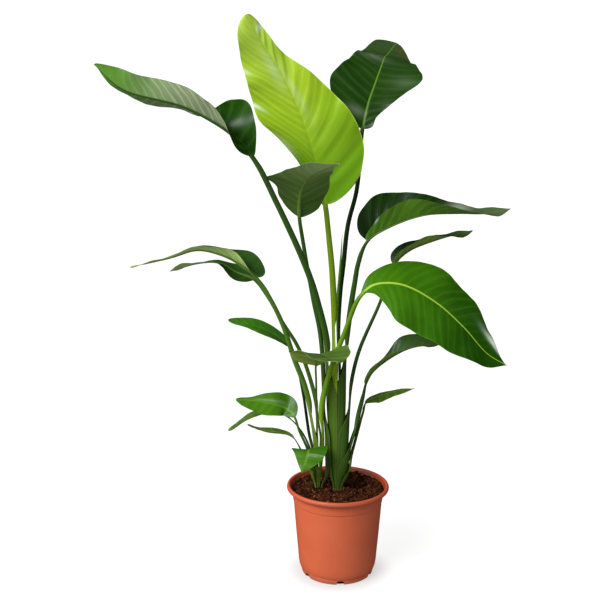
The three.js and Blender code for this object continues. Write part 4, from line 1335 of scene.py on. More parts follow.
MAIN_FAN = Fan(x=-3, y=-8, core=9, step=6, breadth=9, breadth_step=2.8)
SIDE_FAN = Fan(x=-45, y=0, core=5.5, step=3.15, breadth=5.5, breadth_step=2.6)
LEAVES: tuple[LeafPlan, ...] = (
    LeafPlan(
        "leaf_upper_left", MAIN_FAN, Side.LEFT, rank=1, sheath=(430, 560), stem=12.5,
        stalk=(
            (-21.5, -7, 319), (-27.5, -4, 406.5), (-30.5, -3.5, 503), (-36, -12, 566.5),
            (-53, -26, 643.5), (-78, -50, 730), (-143, -105, 889), (-194, -140, 994),
        ),
        midrib=((-234, -150, 1036), (-321, -150, 1088), (-455, -135, 1128), (-510, -130, 1177)),
        faces=((0.6, -0.6, 0.5), (0.2, 0.55, 0.8), (0.1, 0.8, 0.6), (0, 0.5, 0.85)),
        left=HalfBlade((8, 22, 34, 44, 46, 42, 39, 35, 12), (-10, 10, 35, 45), 2, (-20, 0, 0, 0)),
        right=HalfBlade(
            (3, 16, 50, 80, 66, 52, 42, 28, 8), (84, 84, 72, 30, 30, 32, 28, 24, 20),
            2, (-15, -10, 0, 0), sweep=0.95, lobe=0.04,
        ),
        weave=LARGE, finish=Finish.SILVER,
    ),
    LeafPlan(
        "leaf_top_lime", MAIN_FAN, Side.LEFT, rank=0, sheath=(500, 640), stem=12,
        stalk=(
            (-14, -7, 319), (-15.5, -4, 406.5), (-17.5, -5, 484), (-16, -6.5, 561.5),
            (-22, -3, 702), (-29, -5, 830), (-34, -5, 876),
        ),
        midrib=(
            (-57, 0, 975), (-89, 10, 1071), (-136, 15, 1168), (-170, 15, 1219), (-205, 10, 1284),
        ),
        faces=((0.15, -0.95, 0.2), (0.1, -0.98, 0.1), (0.2, -0.95, 0.1)),
        left=HalfBlade(
            (14, 26, 42, 64, 88, 82, 70, 48, 30), (10, 5, 0),
            6, (-10, -10, -10), sweep=0.62, lean=0.15,
        ),
        right=HalfBlade(
            (60, 92, 116, 109, 86, 60, 30, 22, 16), (10, 5, 0),
            4, (-20, -10, -10), sweep=0.68, lobe=0.01,
        ),
        weave=PLEATED, finish=Finish.LIME,
        scars=(Patch(1.0, 0.03, 0.06, 0.012),),
        highlight_patches=(
            Patch(0.61, 0.9, 0.35, 0.016, 0.9), Patch(-1.0, 0.69, 0.14, 0.016, 0.6, 0.1),
            Patch(-0.98, 0.45, 0.17, 0.016, 0.8, 0.1), Patch(0.22, 0.56, 0.12, 0.14, 0.2),
            Patch(-0.15, 0.7, 0.16, 0.1, 0.24), Patch(-0.9, 0.2, 0.2, 0.06, 0.25),
        ),
    ),
    LeafPlan(
        "leaf_centre_front", MAIN_FAN, Side.LEFT, rank=2, sheath=(330, 450), stem=9,
        stalk=(
            (-29.5, -7, 319), (-36.5, -2, 406.5), (-40.5, 1, 484), (-44, 2, 542), (-50, 2, 591),
            (-62, -1, 651), (-80, -20, 765), (-91, -40, 850),
        ),
        midrib=((-89, -75, 901), (-78, -115, 934), (-56, -155, 957), (-8, -190, 980)),
        faces=((0.2, 0.5, 0.85), (0, 0.3, 0.95), (0, 0.3, 0.95)),
        left=HalfBlade((24, 43, 56, 65, 65, 61, 50, 30, 0), (20, 20, 10), 2, lobe=0.01),
        right=HalfBlade((18, 37, 48, 54, 82, 58, 50, 33, 0), (20, 10, 10), 2),
        weave=LARGE, finish=Finish.SHADED, clasp=0.4,
    ),
    LeafPlan(
        "leaf_upper_right", MAIN_FAN, Side.RIGHT, rank=0, sheath=(480, 620), stem=9.5,
        stalk=(
            (5, -7, 319), (5, -2, 406.5), (5.5, 1, 465), (5.5, 8, 505), (4, 27, 567.5),
            (9, 39.5, 669), (16, 45, 733), (24, 50, 822), (41, 58, 901), (52, 70, 1040),
        ),
        midrib=(
            (64, 85, 1090), (81, 110, 1135), (96, 140, 1171), (107, 175, 1195), (118, 215, 1205),
            (141, 253, 1232),
        ),
        faces=((0, -0.95, 0.3), (0, -0.8, 0.6), (0.1, -0.45, 0.9), (0.1, -0.9, 0.5)),
        left=HalfBlade((8, 56, 86, 100, 88, 77, 64, 50, 36), (10, 10, 0, 0), 3, lean=0.08),
        right=HalfBlade(
            (8, 22, 27, 48, 72, 100, 85, 62, 36), (0, -8, -5, 0),
            1.5, (40, 30, 0, 0), sweep=0.98, lean=0.08,
        ),
        weave=LARGE, finish=Finish.DARK, clasp=0.75,
        scars=(Patch(0.55, 0.93, 0.2, 0.02),),
        highlight_patches=(
            Patch(-0.4, 0.64, 0.5, 0.05, 0.1), Patch(-0.26, 0.1, 0.3, 0.03, 0.14),
            Patch(0.7, 0.45, 0.3, 0.06, 0.06),
        ),
    ),
    LeafPlan(
        "leaf_right_arching", MAIN_FAN, Side.RIGHT, rank=1, sheath=(450, 590), stem=11,
        stalk=(
            (14, -7, 319), (17, -2, 406.5), (17.5, 0.5, 467.5), (18.5, 2.5, 522.5),
            (23.5, 3.5, 561.5), (34, 4, 650), (40, 0, 695), (47, -5, 742), (65, -10, 793),
        ),
        midrib=(
            (110, -20, 825), (184, -30, 853), (257, -35, 858), (317, -35, 858), (374, -30, 869),
        ),
        faces=((-0.6, 0.1, 0.8), (0, 0.1, 1), (0, 0, 1), (0, -0.2, 1)),
        left=HalfBlade((34, 58, 78, 72, 54, 43, 28, 18, 6), (85, 60, 30, 20), 2),
        right=HalfBlade((6, 16, 40, 49, 49, 40, 32, 23, 6), (60, 50, 20, -20), 2),
        weave=LARGE, finish=Finish.MIDDLE,
        highlight_patches=(Patch(0.9, 0.09, 0.12, 0.014, 0.8), Patch(-0.6, 0.62, 0.5, 0.08, 0.3)),
    ),
    LeafPlan(
        "leaf_right_narrow", MAIN_FAN, Side.RIGHT, rank=2, sheath=(330, 470), stem=7.5,
        stalk=(
            (24, -7, 319), (27, 0.5, 387), (32, 10.5, 445), (50.5, 21, 528.5), (97, 36.5, 638.5),
            (131, 45, 731),
        ),
        midrib=((161, 50, 760), (223, 60, 784), (309, 70, 807)),
        faces=((-0.4, 0.1, 0.9), (0, 0.1, 1), (0, 0, 1)),
        left=HalfBlade((13, 24, 24, 22, 17, 14, 6), (60, 30, 10), 2),
        right=HalfBlade((4, 15, 21, 24, 20, 15, 6), (40, 40, -60), 2),
        weave=MEDIUM, finish=Finish.NARROW,
    ),
    LeafPlan(
        "leaf_right_broad", SIDE_FAN, Side.RIGHT, rank=1, sheath=(270, 400), stem=10.5,
        stalk=(
            (-33.5, -0.5, 289.5), (-32.5, -11.5, 333.5), (-34.5, -18.5, 387), (-30.5, -23.5, 432.5),
            (-12.5, -24, 505), (13, -30.5, 584), (36, -45.5, 657), (54, -60, 687),
        ),
        midrib=(
            (79, -70, 705), (133, -90, 708), (202, -110, 675), (262, -125, 624), (315, -135, 567),
            (357, -140, 543),
        ),
        faces=((0.1, -0.6, 0.75), (0.3, -0.65, 0.7), (0.5, -0.6, 0.6)),
        left=HalfBlade(
            (4, 7, 54, 94, 101, 89, 73, 48, 6), (0, 5, 0), 3, (-20, -20, -10), lobe=0.1, lean=0.08,
        ),
        right=HalfBlade(
            (8, 30, 66, 96, 97, 88, 73, 42, 6), (0, 5, 0), 3, (-20, -20, -10), lobe=0, lean=0.08,
        ),
        weave=LARGE, finish=Finish.BRIGHT,
        highlight_patches=(Patch(-0.84, 0.84, 0.18, 0.08, 0.9, 0.3),),
    ),
    LeafPlan(
        "leaf_right_low", MAIN_FAN, Side.RIGHT, rank=3, sheath=(250, 390), stem=9,
        stalk=((31.5, -7.5, 314), (43.5, -9.5, 356), (59, -11, 426.5), (65, -15, 465.5)),
        midrib=((79, -5, 488), (123, -15, 528), (166, -25, 552), (230, -40, 564)),
        faces=((-0.5, 0.1, 0.85), (-0.3, 0.1, 0.95), (0, 0, 1)),
        left=HalfBlade((3, 4, 6, 20, 38, 35, 6), (50, 50, 20), 2),
        right=HalfBlade((3, 8, 15, 21, 24, 18, 6), (60, 20, 0), 2),
        weave=MEDIUM, finish=Finish.NARROW,
    ),
    LeafPlan(
        "leaf_right_lowest", MAIN_FAN, Side.RIGHT, rank=4, sheath=(238, 285), stem=6,
        stalk=(
            (34.5, -6, 289.5), (42.5, 0, 319), (50.5, 4.5, 350), (58.5, 3.5, 387),
            (63.5, -1.5, 412),
        ),
        midrib=((88, 8, 424), (128, -12, 445), (172, -35, 460)),
        faces=((-0.2, 0.4, 0.9), (-0.1, 0.4, 0.9), (0, 0.2, 1)),
        left=HalfBlade((3, 9, 16, 19, 10, 6), (40, 20, 0), 1),
        right=HalfBlade((3, 25, 31, 28, 20, 6), (-30, -40, -20), 1),
        weave=SMALL, finish=Finish.OLIVE, clasp=0.2,
    ),
    LeafPlan(
        "leaf_left_long", SIDE_FAN, Side.LEFT, rank=1, sheath=(300, 420), stem=10.5,
        stalk=(
            (-57.5, 0.5, 310), (-64, -3, 365), (-84, -3.5, 454.5), (-107, -8, 518.5),
            (-134, -9.5, 604), (-163, -14.5, 667), (-192, -20, 715),
        ),
        midrib=(
            (-229, -30, 746), (-265, -40, 766), (-314, -50, 778), (-373, -60, 763),
            (-460, -70, 745),
        ),
        faces=((0.6, -0.3, 0.7), (0.2, 0.2, 0.95), (0, 0.1, 1), (0, 0, 1)),
        left=HalfBlade((6, 20, 27, 16, 13, 10, 8), (20, 40, 20, 10), 2),
        right=HalfBlade((3, 25, 36, 17, 15, 10, 8), (70, 60, 10, 0), 2, sweep=1.05, lobe=0.07),
        weave=MEDIUM, finish=Finish.PALE,
    ),
    LeafPlan(
        "leaf_left_under", SIDE_FAN, Side.LEFT, rank=0, sheath=(300, 420), stem=8,
        stalk=(
            (-51.5, 1, 319), (-54.5, 7.5, 400.5), (-76, 17, 486.5), (-99, 22.5, 544),
            (-131, 24.5, 597), (-166, 25.5, 660), (-196, 24, 700),
        ),
        midrib=((-235, 22, 716), (-273, 18, 738), (-315, 12, 739), (-383, 5, 722)),
        faces=((0.3, -0.5, 0.8), (0, 0.1, 1), (0, 0.45, 0.9)),
        left=HalfBlade((6, 17, 26, 27, 29, 24, 12), (-40, 0, 10), 2),
        right=HalfBlade((5, 16, 26, 12, 9, 8, 6), (20, 20, 10), 2),
        weave=MEDIUM, finish=Finish.PALE,
    ),
    LeafPlan(
        "leaf_left_short", SIDE_FAN, Side.LEFT, rank=2, sheath=(262, 310), stem=6,
        stalk=(
            (-62.5, 4.5, 299.5), (-71, 13.5, 333.5), (-84, 23.5, 425.5), (-99, 26.5, 503),
            (-114, 18, 543),
        ),
        midrib=((-133, 15, 561), (-171, 5, 587), (-209, -5, 603), (-252, -15, 615)),
        faces=((0.2, -0.5, 0.8), (0, -0.5, 0.85), (0, -0.5, 0.85)),
        left=HalfBlade((3, 12, 20, 22, 15, 6), (10, 10, 0), 1),
        right=HalfBlade((3, 13, 20, 21, 17, 6), (10, 10, 0), 1),
        weave=SMALL, finish=Finish.SHORT,
    ),
    LeafPlan(
        "leaf_centre_low", SIDE_FAN, Side.RIGHT, rank=0, sheath=(258, 290), stem=4.6,
        stalk=(
            (-39.5, 0, 287.5), (-38.2, -3.5, 333.5), (-45, -12, 377.5), (-49.5, -22, 423),
            (-52, -38, 472.5), (-53.5, -49, 516.5),
        ),
        midrib=((-50, -58, 542), (-38, -108, 557), (-8, -180, 559)),
        faces=((0, 0.3, 0.95), (0, 0.2, 1), (0.1, 0.2, 1)),
        left=HalfBlade((10, 46, 64, 60, 46, 0), (10, 10, 8), 3, (10, 10, 0), lobe=0),
        right=HalfBlade((44, 62, 70, 67, 50, 0), (2, 6, 4), 5, (4, 4, 0), lobe=0),
        weave=SMALL, finish=Finish.CURLED,
    ),
    LeafPlan(
        "leaf_low_left", SIDE_FAN, Side.LEFT, rank=4, sheath=(256, 290), stem=5.5,
        stalk=((-68, -5, 280), (-76, -11.5, 309.5), (-91, -16, 348.5), (-102, -16.5, 386)),
        midrib=((-121, 0, 400), (-142, -5, 410), (-188, -10, 422), (-237, -15, 427)),
        faces=((0, -0.7, 0.7), (-0.1, -0.7, 0.7), (-0.1, -0.7, 0.7)),
        left=HalfBlade((4, 16, 25, 32, 25, 6), (-20, 0, 0), 1),
        right=HalfBlade((4, 26, 32, 23, 9, 6), (20, 10, 0), 1),
        weave=SMALL, finish=Finish.YOUNG,
        highlight_patches=(Patch(0.3, 0.5, 0.12, 0.24, 0.22),),
    ),
    LeafPlan(
        "leaf_low_strip", SIDE_FAN, Side.LEFT, rank=3, sheath=(256, 295), stem=4.2,
        stalk=((-66.5, 5, 294.5), (-76, 11, 319), (-92, 14, 346.5), (-112, 15.5, 369.5)),
        midrib=((-150, 38, 382), (-197, 38, 375), (-259, 38, 334)),
        faces=((0.2, -0.1, 0.95), (-0.1, -0.3, 0.95), (-0.4, -0.4, 0.8)),
        left=HalfBlade((1, 5, 10, 12, 10, 6), (0, 0, 0), 1),
        right=HalfBlade((1, 4, 9, 10, 8, 5), (0, 0, 0), 1),
        weave=SMALL, finish=Finish.STRIP,
    ),
    LeafPlan(
        "leaf_low_wavy", SIDE_FAN, Side.LEFT, rank=6, sheath=(250, 280), stem=4,
        stalk=((-81, -7, 282), (-90, -20.5, 309.5), (-104, -29.5, 338.5)),
        midrib=((-124, -8, 341), (-140, -10, 346), (-181, -14, 353), (-211, -18, 368)),
        faces=((0.2, -0.1, 0.95), (0, -0.35, 0.95), (0, -0.1, 1)),
        left=HalfBlade((1, 6, 9, 6, 5, 4), (10, 10, 10), 1),
        right=HalfBlade((1, 7, 12, 11, 8, 4), (10, 10, 10), 1),
        weave=SMALL, finish=Finish.STRIP,
    ),
    LeafPlan(
        "leaf_front_drooping", SIDE_FAN, Side.LEFT, rank=5, sheath=(252, 282), stem=4.6,
        stalk=((-76, -15, 286), (-75, -26, 302), (-71, -37, 312)),
        midrib=((-71, -46, 309), (-77, -55, 291), (-86, -62, 266)),
        faces=((0, -0.4, 0.9), (0, -0.8, 0.6), (0, -0.9, 0.4)),
        left=HalfBlade((44, 45, 38, 28, 15, 0), (10, 0, 0), 1, sweep=1, lobe=0),
        right=HalfBlade((38, 38, 33, 24, 13, 0), (10, 0, 0), 1, sweep=1, lobe=0),
        weave=SMALL, finish=Finish.YOUNG,
        highlight_patches=(Patch(0.6, 0.78, 0.3, 0.1, 0.16),),
    ),
)


@dataclass(frozen=True)
class RolledLeaf:
    """New leaf, still rolled up into a tapering rod in the middle of the main fan.

    Attributes:
        knots: Points of the rod's middle.
        radii: Radii at the knots.
        overlap: Share of the radius by which the roll's inner end lies deeper.
        twist: Turns that the overlap makes from foot to tip.
        rings: Rings along the rod.
        points: Points in a ring.
    """

    knots: tuple[Point, ...] = (
        (-3, -8, 168), (-3, -8, 204), (-3, -8, 245), (-3, -5, 340), (-3, -3, 420), (-3, -1, 470),
        (-2.2, 2.8, 508), (-2.9, 10, 550), (-3.4, 19, 648), (2, 18, 730), (6, 14, 806),
    )
    radii: tuple[float, ...] = (1, 1, 2.4, 2.4, 2, 1.4, 1.2, 1.6, 3.1, 2.7, 0.5)
    overlap: float = 0.17
    twist: float = 0.6
    rings: int = 150
    points: int = 40

    def material(self) -> bpy.types.Material:
        """Fresh green with fine lengthwise veins, paler at the overlap.

        Returns:
            The material.
        """
        paint = Paint("rolled_leaf")
        turn = paint.value("turn")
        run = paint.value("run")
        veins = paint.noise(paint.vector(turn * 14.0, run * 2.0, 0.0), 1.0, 2.0)
        colour = paint.blend((0.09, 0.25, 0.015), (0.2, 0.42, 0.035), veins)
        colour = paint.blend(colour, (0.35, 0.55, 0.1), turn.step(0.06, 0.0) * 0.7)
        inputs = {
            "Base Color": colour,
            "Roughness": 0.34 + veins * 0.12,
            "Normal": paint.bump(veins, 0.0004, 0.7),
        }
        return paint.finish(inputs)

    def build(self) -> None:
        """Make the piece: level rings whose radius falls steadily round, then steps back."""
        place = np.linspace(0.0, 1.0, self.rings)
        middle = Line(list(self.knots)).at_place(place)
        radius = np.interp(place, np.linspace(0.0, 1.0, len(self.radii)), self.radii)
        turn = np.linspace(0.0, 1.0, self.points)
        angle = 2 * np.pi * (turn[None, :] + self.twist * place[:, None])
        reach = radius[:, None] * (1 - self.overlap * turn[None, :])
        level = np.zeros_like(angle)
        ring = np.stack([reach * np.cos(angle), reach * np.sin(angle), level], axis=-1)
        shell = skin(middle[:, None, :] + ring)
        shell.values = {"turn": np.tile(turn, self.rings), "run": np.repeat(place, self.points)}
        piece = make_piece("rolled_leaf_grown", [shell], [self.material()], LEAF_CREASE)
        settle(piece, "new_leaf")


@dataclass(frozen=True)
class OldSheath:
    """Pointed stub of an old sheath that leans forward out of the side fan.

    Attributes:
        knots: Points of its back, from foot to tip.
        halves: Half widths at the knots.
        bulge: Depth of the back over its half width.
        narrowing: Half width of the open side over that of the back.
        thickness: Thickness in the middle.
        rings: Rings along it.
        points: Points along half a ring.
    """

    knots: tuple[Point, ...] = (
        (-38, -6, 168), (-38, -6, 204), (-35.5, -9, 220), (-28.5, -17, 236), (-25.5, -23, 253),
        (-26, -26, 278), (-28.5, -27, 312), (-31.5, -26, 346),
    )
    halves: tuple[float, ...] = (2, 2, 2.8, 4, 4.8, 4.6, 3.2, 0.5)
    bulge: float = 0.5
    narrowing: float = 0.7
    thickness: float = 1.2
    rings: int = 90
    points: int = 13

    def material(self) -> bpy.types.Material:
        """Dark olive that turns brown and dry at the margins and the tip.

        Returns:
            The material.
        """
        paint = Paint("old_sheath_skin")
        turn = abs(paint.value("turn"))
        run = paint.value("run")
        lines = paint.noise(paint.vector(turn * 7.0, run * 3.0, 0.0), 1.0, 3.0)
        dry = paint.noise(paint.place(), 70.0, 4.0)
        colour = paint.blend((0.018, 0.05, 0.006), (0.07, 0.14, 0.02), lines)
        worn = (turn.step(0.7, 1.0) * 0.7 + run.step(0.8, 1.0)).math("MINIMUM", 1.0)
        colour = paint.blend(colour, (0.16, 0.085, 0.035), worn * (0.35 + dry * 0.65))
        inputs = {
            "Base Color": colour,
            "Roughness": 0.5 + dry * 0.2,
            "Normal": paint.bump(lines * 0.6 + dry * 0.4, 0.0006, 0.8),
        }
        return paint.finish(inputs)

    def build(self) -> None:
        """Make the piece: level crescents, at the back x = half sin a, y = depth (1 - cos a)."""
        place = np.linspace(0.0, 1.0, self.rings)
        back = Line(list(self.knots)).at_place(place)
        half = curved(np.array(self.halves), place)[:, None]
        angle = np.linspace(-np.pi / 2, np.pi / 2, self.points)[None, :]
        rest = 1 - np.cos(angle)
        depth = self.bulge * half
        hollow = self.thickness + (depth - self.thickness) * rest
        outer = (half * np.sin(angle), depth * rest)
        inner = (self.narrowing * half * np.sin(angle), hollow)
        x = np.concatenate([outer[0], inner[0][:, ::-1]], axis=1)
        y = np.concatenate([outer[1], inner[1][:, ::-1]], axis=1)
        shell = skin(back[:, None, :] + np.stack([x, y, np.zeros_like(x)], axis=-1))
        ring = np.concatenate([angle[0], angle[0][::-1]]) / (np.pi / 2)
        shell.values = {"turn": np.tile(ring, self.rings), "run": np.repeat(place, len(ring))}
        piece = make_piece("old_sheath_grown", [shell], [self.material()], LEAF_CREASE)
        settle(piece, "old_sheath")


# Pot


@dataclass(frozen=True)
class Notch:
    """Arched drainage notches in the edge of the pot's base.

    Attributes:
        count: How many, spread evenly.
        start: Angle of the first one in degrees.
        width: Width of a notch.
        height: Height of a notch.
        corner: Radius of its upper corners.
        steps: Points along a corner.
        inside: Distance from the pot's middle at which a cutter starts.
        outside: Distance at which it ends.
        below: How far it reaches below the base.
    """

    count: int = 6
    start: float = -87.0
    width: float = 17.0
    height: float = 10.5
    corner: float = 5.0
    steps: int = 7
    inside: float = 76.0
    outside: float = 96.0
    below: float = 9.0

    def cutters(self) -> list[Shell]:
        """Blocks that run outwards through the wall, each with rounded upper corners.

        Returns:
            The blocks.
        """
        quarter = np.linspace(0.0, np.pi / 2, self.steps)
        half = self.width / 2
        side = np.concatenate([half - self.corner * (1 - np.cos(quarter)), [half]])
        high = np.concatenate([self.height - self.corner * (1 - np.sin(quarter)), [-self.below]])
        order = np.argsort(-high, kind="stable")
        across = np.concatenate([side[order], -side[order][::-1]])
        level = np.concatenate([high[order], high[order][::-1]])
        shells = []
        for turn in np.radians(self.start + np.arange(self.count) * 360 / self.count):
            outward = np.array([math.cos(turn), math.sin(turn), 0.0])
            aside = np.array([-math.sin(turn), math.cos(turn), 0.0])
            outline = across[:, None] * aside + level[:, None] * UPWARD
            rings = np.stack([outline + outward * self.inside, outline + outward * self.outside])
            shells.append(skin(rings[:, ::-1]))
        return shells


@dataclass(frozen=True)
class Pot:
    """Thin-walled nursery pot.

    Attributes:
        profile: Radius and height pairs up the outside, over the rim and down the inside.
        floor: Heights of the underside and of the inner floor in the middle.
        rounding: Distance from a corner at which its rounding starts.
        steps: Points along a rounding.
        notch: Drainage notches.
        segments: Points round the pot.
    """

    profile: tuple[tuple[float, float], ...] = (
        (82, 0), (84, 1.8), (85.8, 10.6), (84.9, 11.6), (85, 12.6), (87.6, 13.6), (90, 21),
        (91.8, 32), (97.6, 100), (103.2, 171), (103.5, 178.6), (104.9, 179.6), (106.6, 203),
        (108.4, 205.6), (117.2, 205.6), (119.6, 208.2), (120, 211.6), (118.6, 215.4), (115.6, 217),
        (112.8, 215.8), (111.2, 212.6), (109.4, 207.4), (105.2, 201.4), (89.4, 29), (82.4, 2.4),
    )
    floor: tuple[float, float] = (0.0, 2.4)
    rounding: float = 1.6
    steps: int = 5
    notch: Notch = field(default_factory=Notch)
    segments: int = 180

    CREASE = 40.0
    LONGEST_ROUNDING = 0.42
    DUST_HEIGHTS = (0.03, 0.0)
    # Radii and heights of the inner wall that gets painted shade.
    INNER_SHADE_RADII = (0.1135, 0.1105)
    INNER_SHADE_HEIGHTS = (0.2052, 0.2075)
    RIM_HEIGHTS = (0.2045, 0.2065)
    UNDER_RIM_TOP = (0.2068, 0.2052)
    UNDER_RIM_FOOT = (0.2, 0.2045)
    RELIEF = 0.00035

    def rounded(self) -> Array:
        """Profile with each corner replaced by a quadratic curve from one side to the other.

        Returns:
            Radius and height pairs in rows.
        """
        corner = np.array(self.profile, float)
        before = np.vstack([[0.0, self.floor[0]], corner[:-1]]) - corner
        after = np.vstack([corner[1:], [0.0, self.floor[1]]]) - corner
        reach = [
            np.minimum(
                self.rounding, self.LONGEST_ROUNDING * np.linalg.norm(arm, axis=1, keepdims=True)
            )
            for arm in (before, after)
        ]
        start = (corner + unit(before) * reach[0])[:, None]
        end = (corner + unit(after) * reach[1])[:, None]
        t = np.linspace(0.0, 1.0, self.steps)[None, :, None]
        curve = (1 - t) ** 2 * start + 2 * t * (1 - t) * corner[:, None] + t * t * end
        return curve.reshape(-1, 2)

    def material(self) -> bpy.types.Material:
        """Matt terracotta-coloured plastic: soft mottling, faint flow lines, scuffs and dust, and
        painted shade on the inner wall and under the rim.

        Returns:
            The material.
        """
        paint = Paint("terracotta_plastic")
        place = paint.place()
        cloud = paint.noise(place, 14.0, 4.0)
        speck = paint.noise(place, 900.0, 2.0)
        east, north, height = (
            paint.node("ShaderNodeSeparateXYZ", {}, {0: place}, axis) for axis in range(3)
        )
        flow = {"Vector": place, "Scale": (220.0, 220.0, 9.0)}
        scuff = paint.noise(paint.node("ShaderNodeMapping", {}, flow), 1.0).step(0.62, 0.75)
        colour = paint.blend((0.58, 0.104, 0.036), (0.68, 0.14, 0.056), cloud)
        colour = paint.blend(colour, (0.75, 0.22, 0.11), scuff * 0.16)
        colour = paint.blend(colour, (0.42, 0.12, 0.06), height.step(*self.DUST_HEIGHTS) * 0.25)
        radius = (east * east + north * north) ** 0.5
        # Painted shade on the inner wall above the soil and on the underside of the rim.
        painted_inner_shade = radius.step(*self.INNER_SHADE_RADII) * height.step(*self.INNER_SHADE_HEIGHTS)
        under_rim_shade = height.step(*self.UNDER_RIM_TOP) * height.step(*self.UNDER_RIM_FOOT)
        colour = paint.blend(colour, (0.46, 0.07, 0.022), height.step(*self.RIM_HEIGHTS) * 0.5)
        # Darken both places as painted shade.
        colour = paint.blend(colour, (0.3, 0.045, 0.014), painted_inner_shade * 0.75 + under_rim_shade * 0.45)
        inputs = {
            "Base Color": colour,
            "Roughness": 0.4 + cloud * 0.12 + scuff * 0.12,
            "Specular IOR Level": 0.45,
            "Normal": paint.bump(speck * 0.4 + cloud * 0.6, self.RELIEF, 0.5),
        }
        return paint.finish(inputs)

    def build(self) -> None:
        """Make the pot and cut its notches."""
        profile = self.rounded()
        heights = np.concatenate([[self.floor[0]], profile[:, 1], [self.floor[1]]])
        shell = lathe(profile[:, 0], heights, self.segments)
        pot = make_piece("pot_moulded", [shell], [self.material()], self.CREASE)
        cutter = make_piece("notch_cutter", self.notch.cutters(), [], self.CREASE)
        cut = pot.modifiers.new("notches", "BOOLEAN")
        cut.operation = "DIFFERENCE"
        cut.solver = "EXACT"
        cut.object = cutter
        depsgraph = bpy.context.evaluated_depsgraph_get()
        uncut = pot.data
        pot.data = bpy.data.meshes.new_from_object(pot.evaluated_get(depsgraph))
        pot.modifiers.clear()
        bpy.data.meshes.remove(uncut)
        bpy.data.meshes.remove(cutter.data)
        pot.data.set_sharp_from_angle(angle=math.radians(self.CREASE))
        settle(pot, "pot")


# Soil


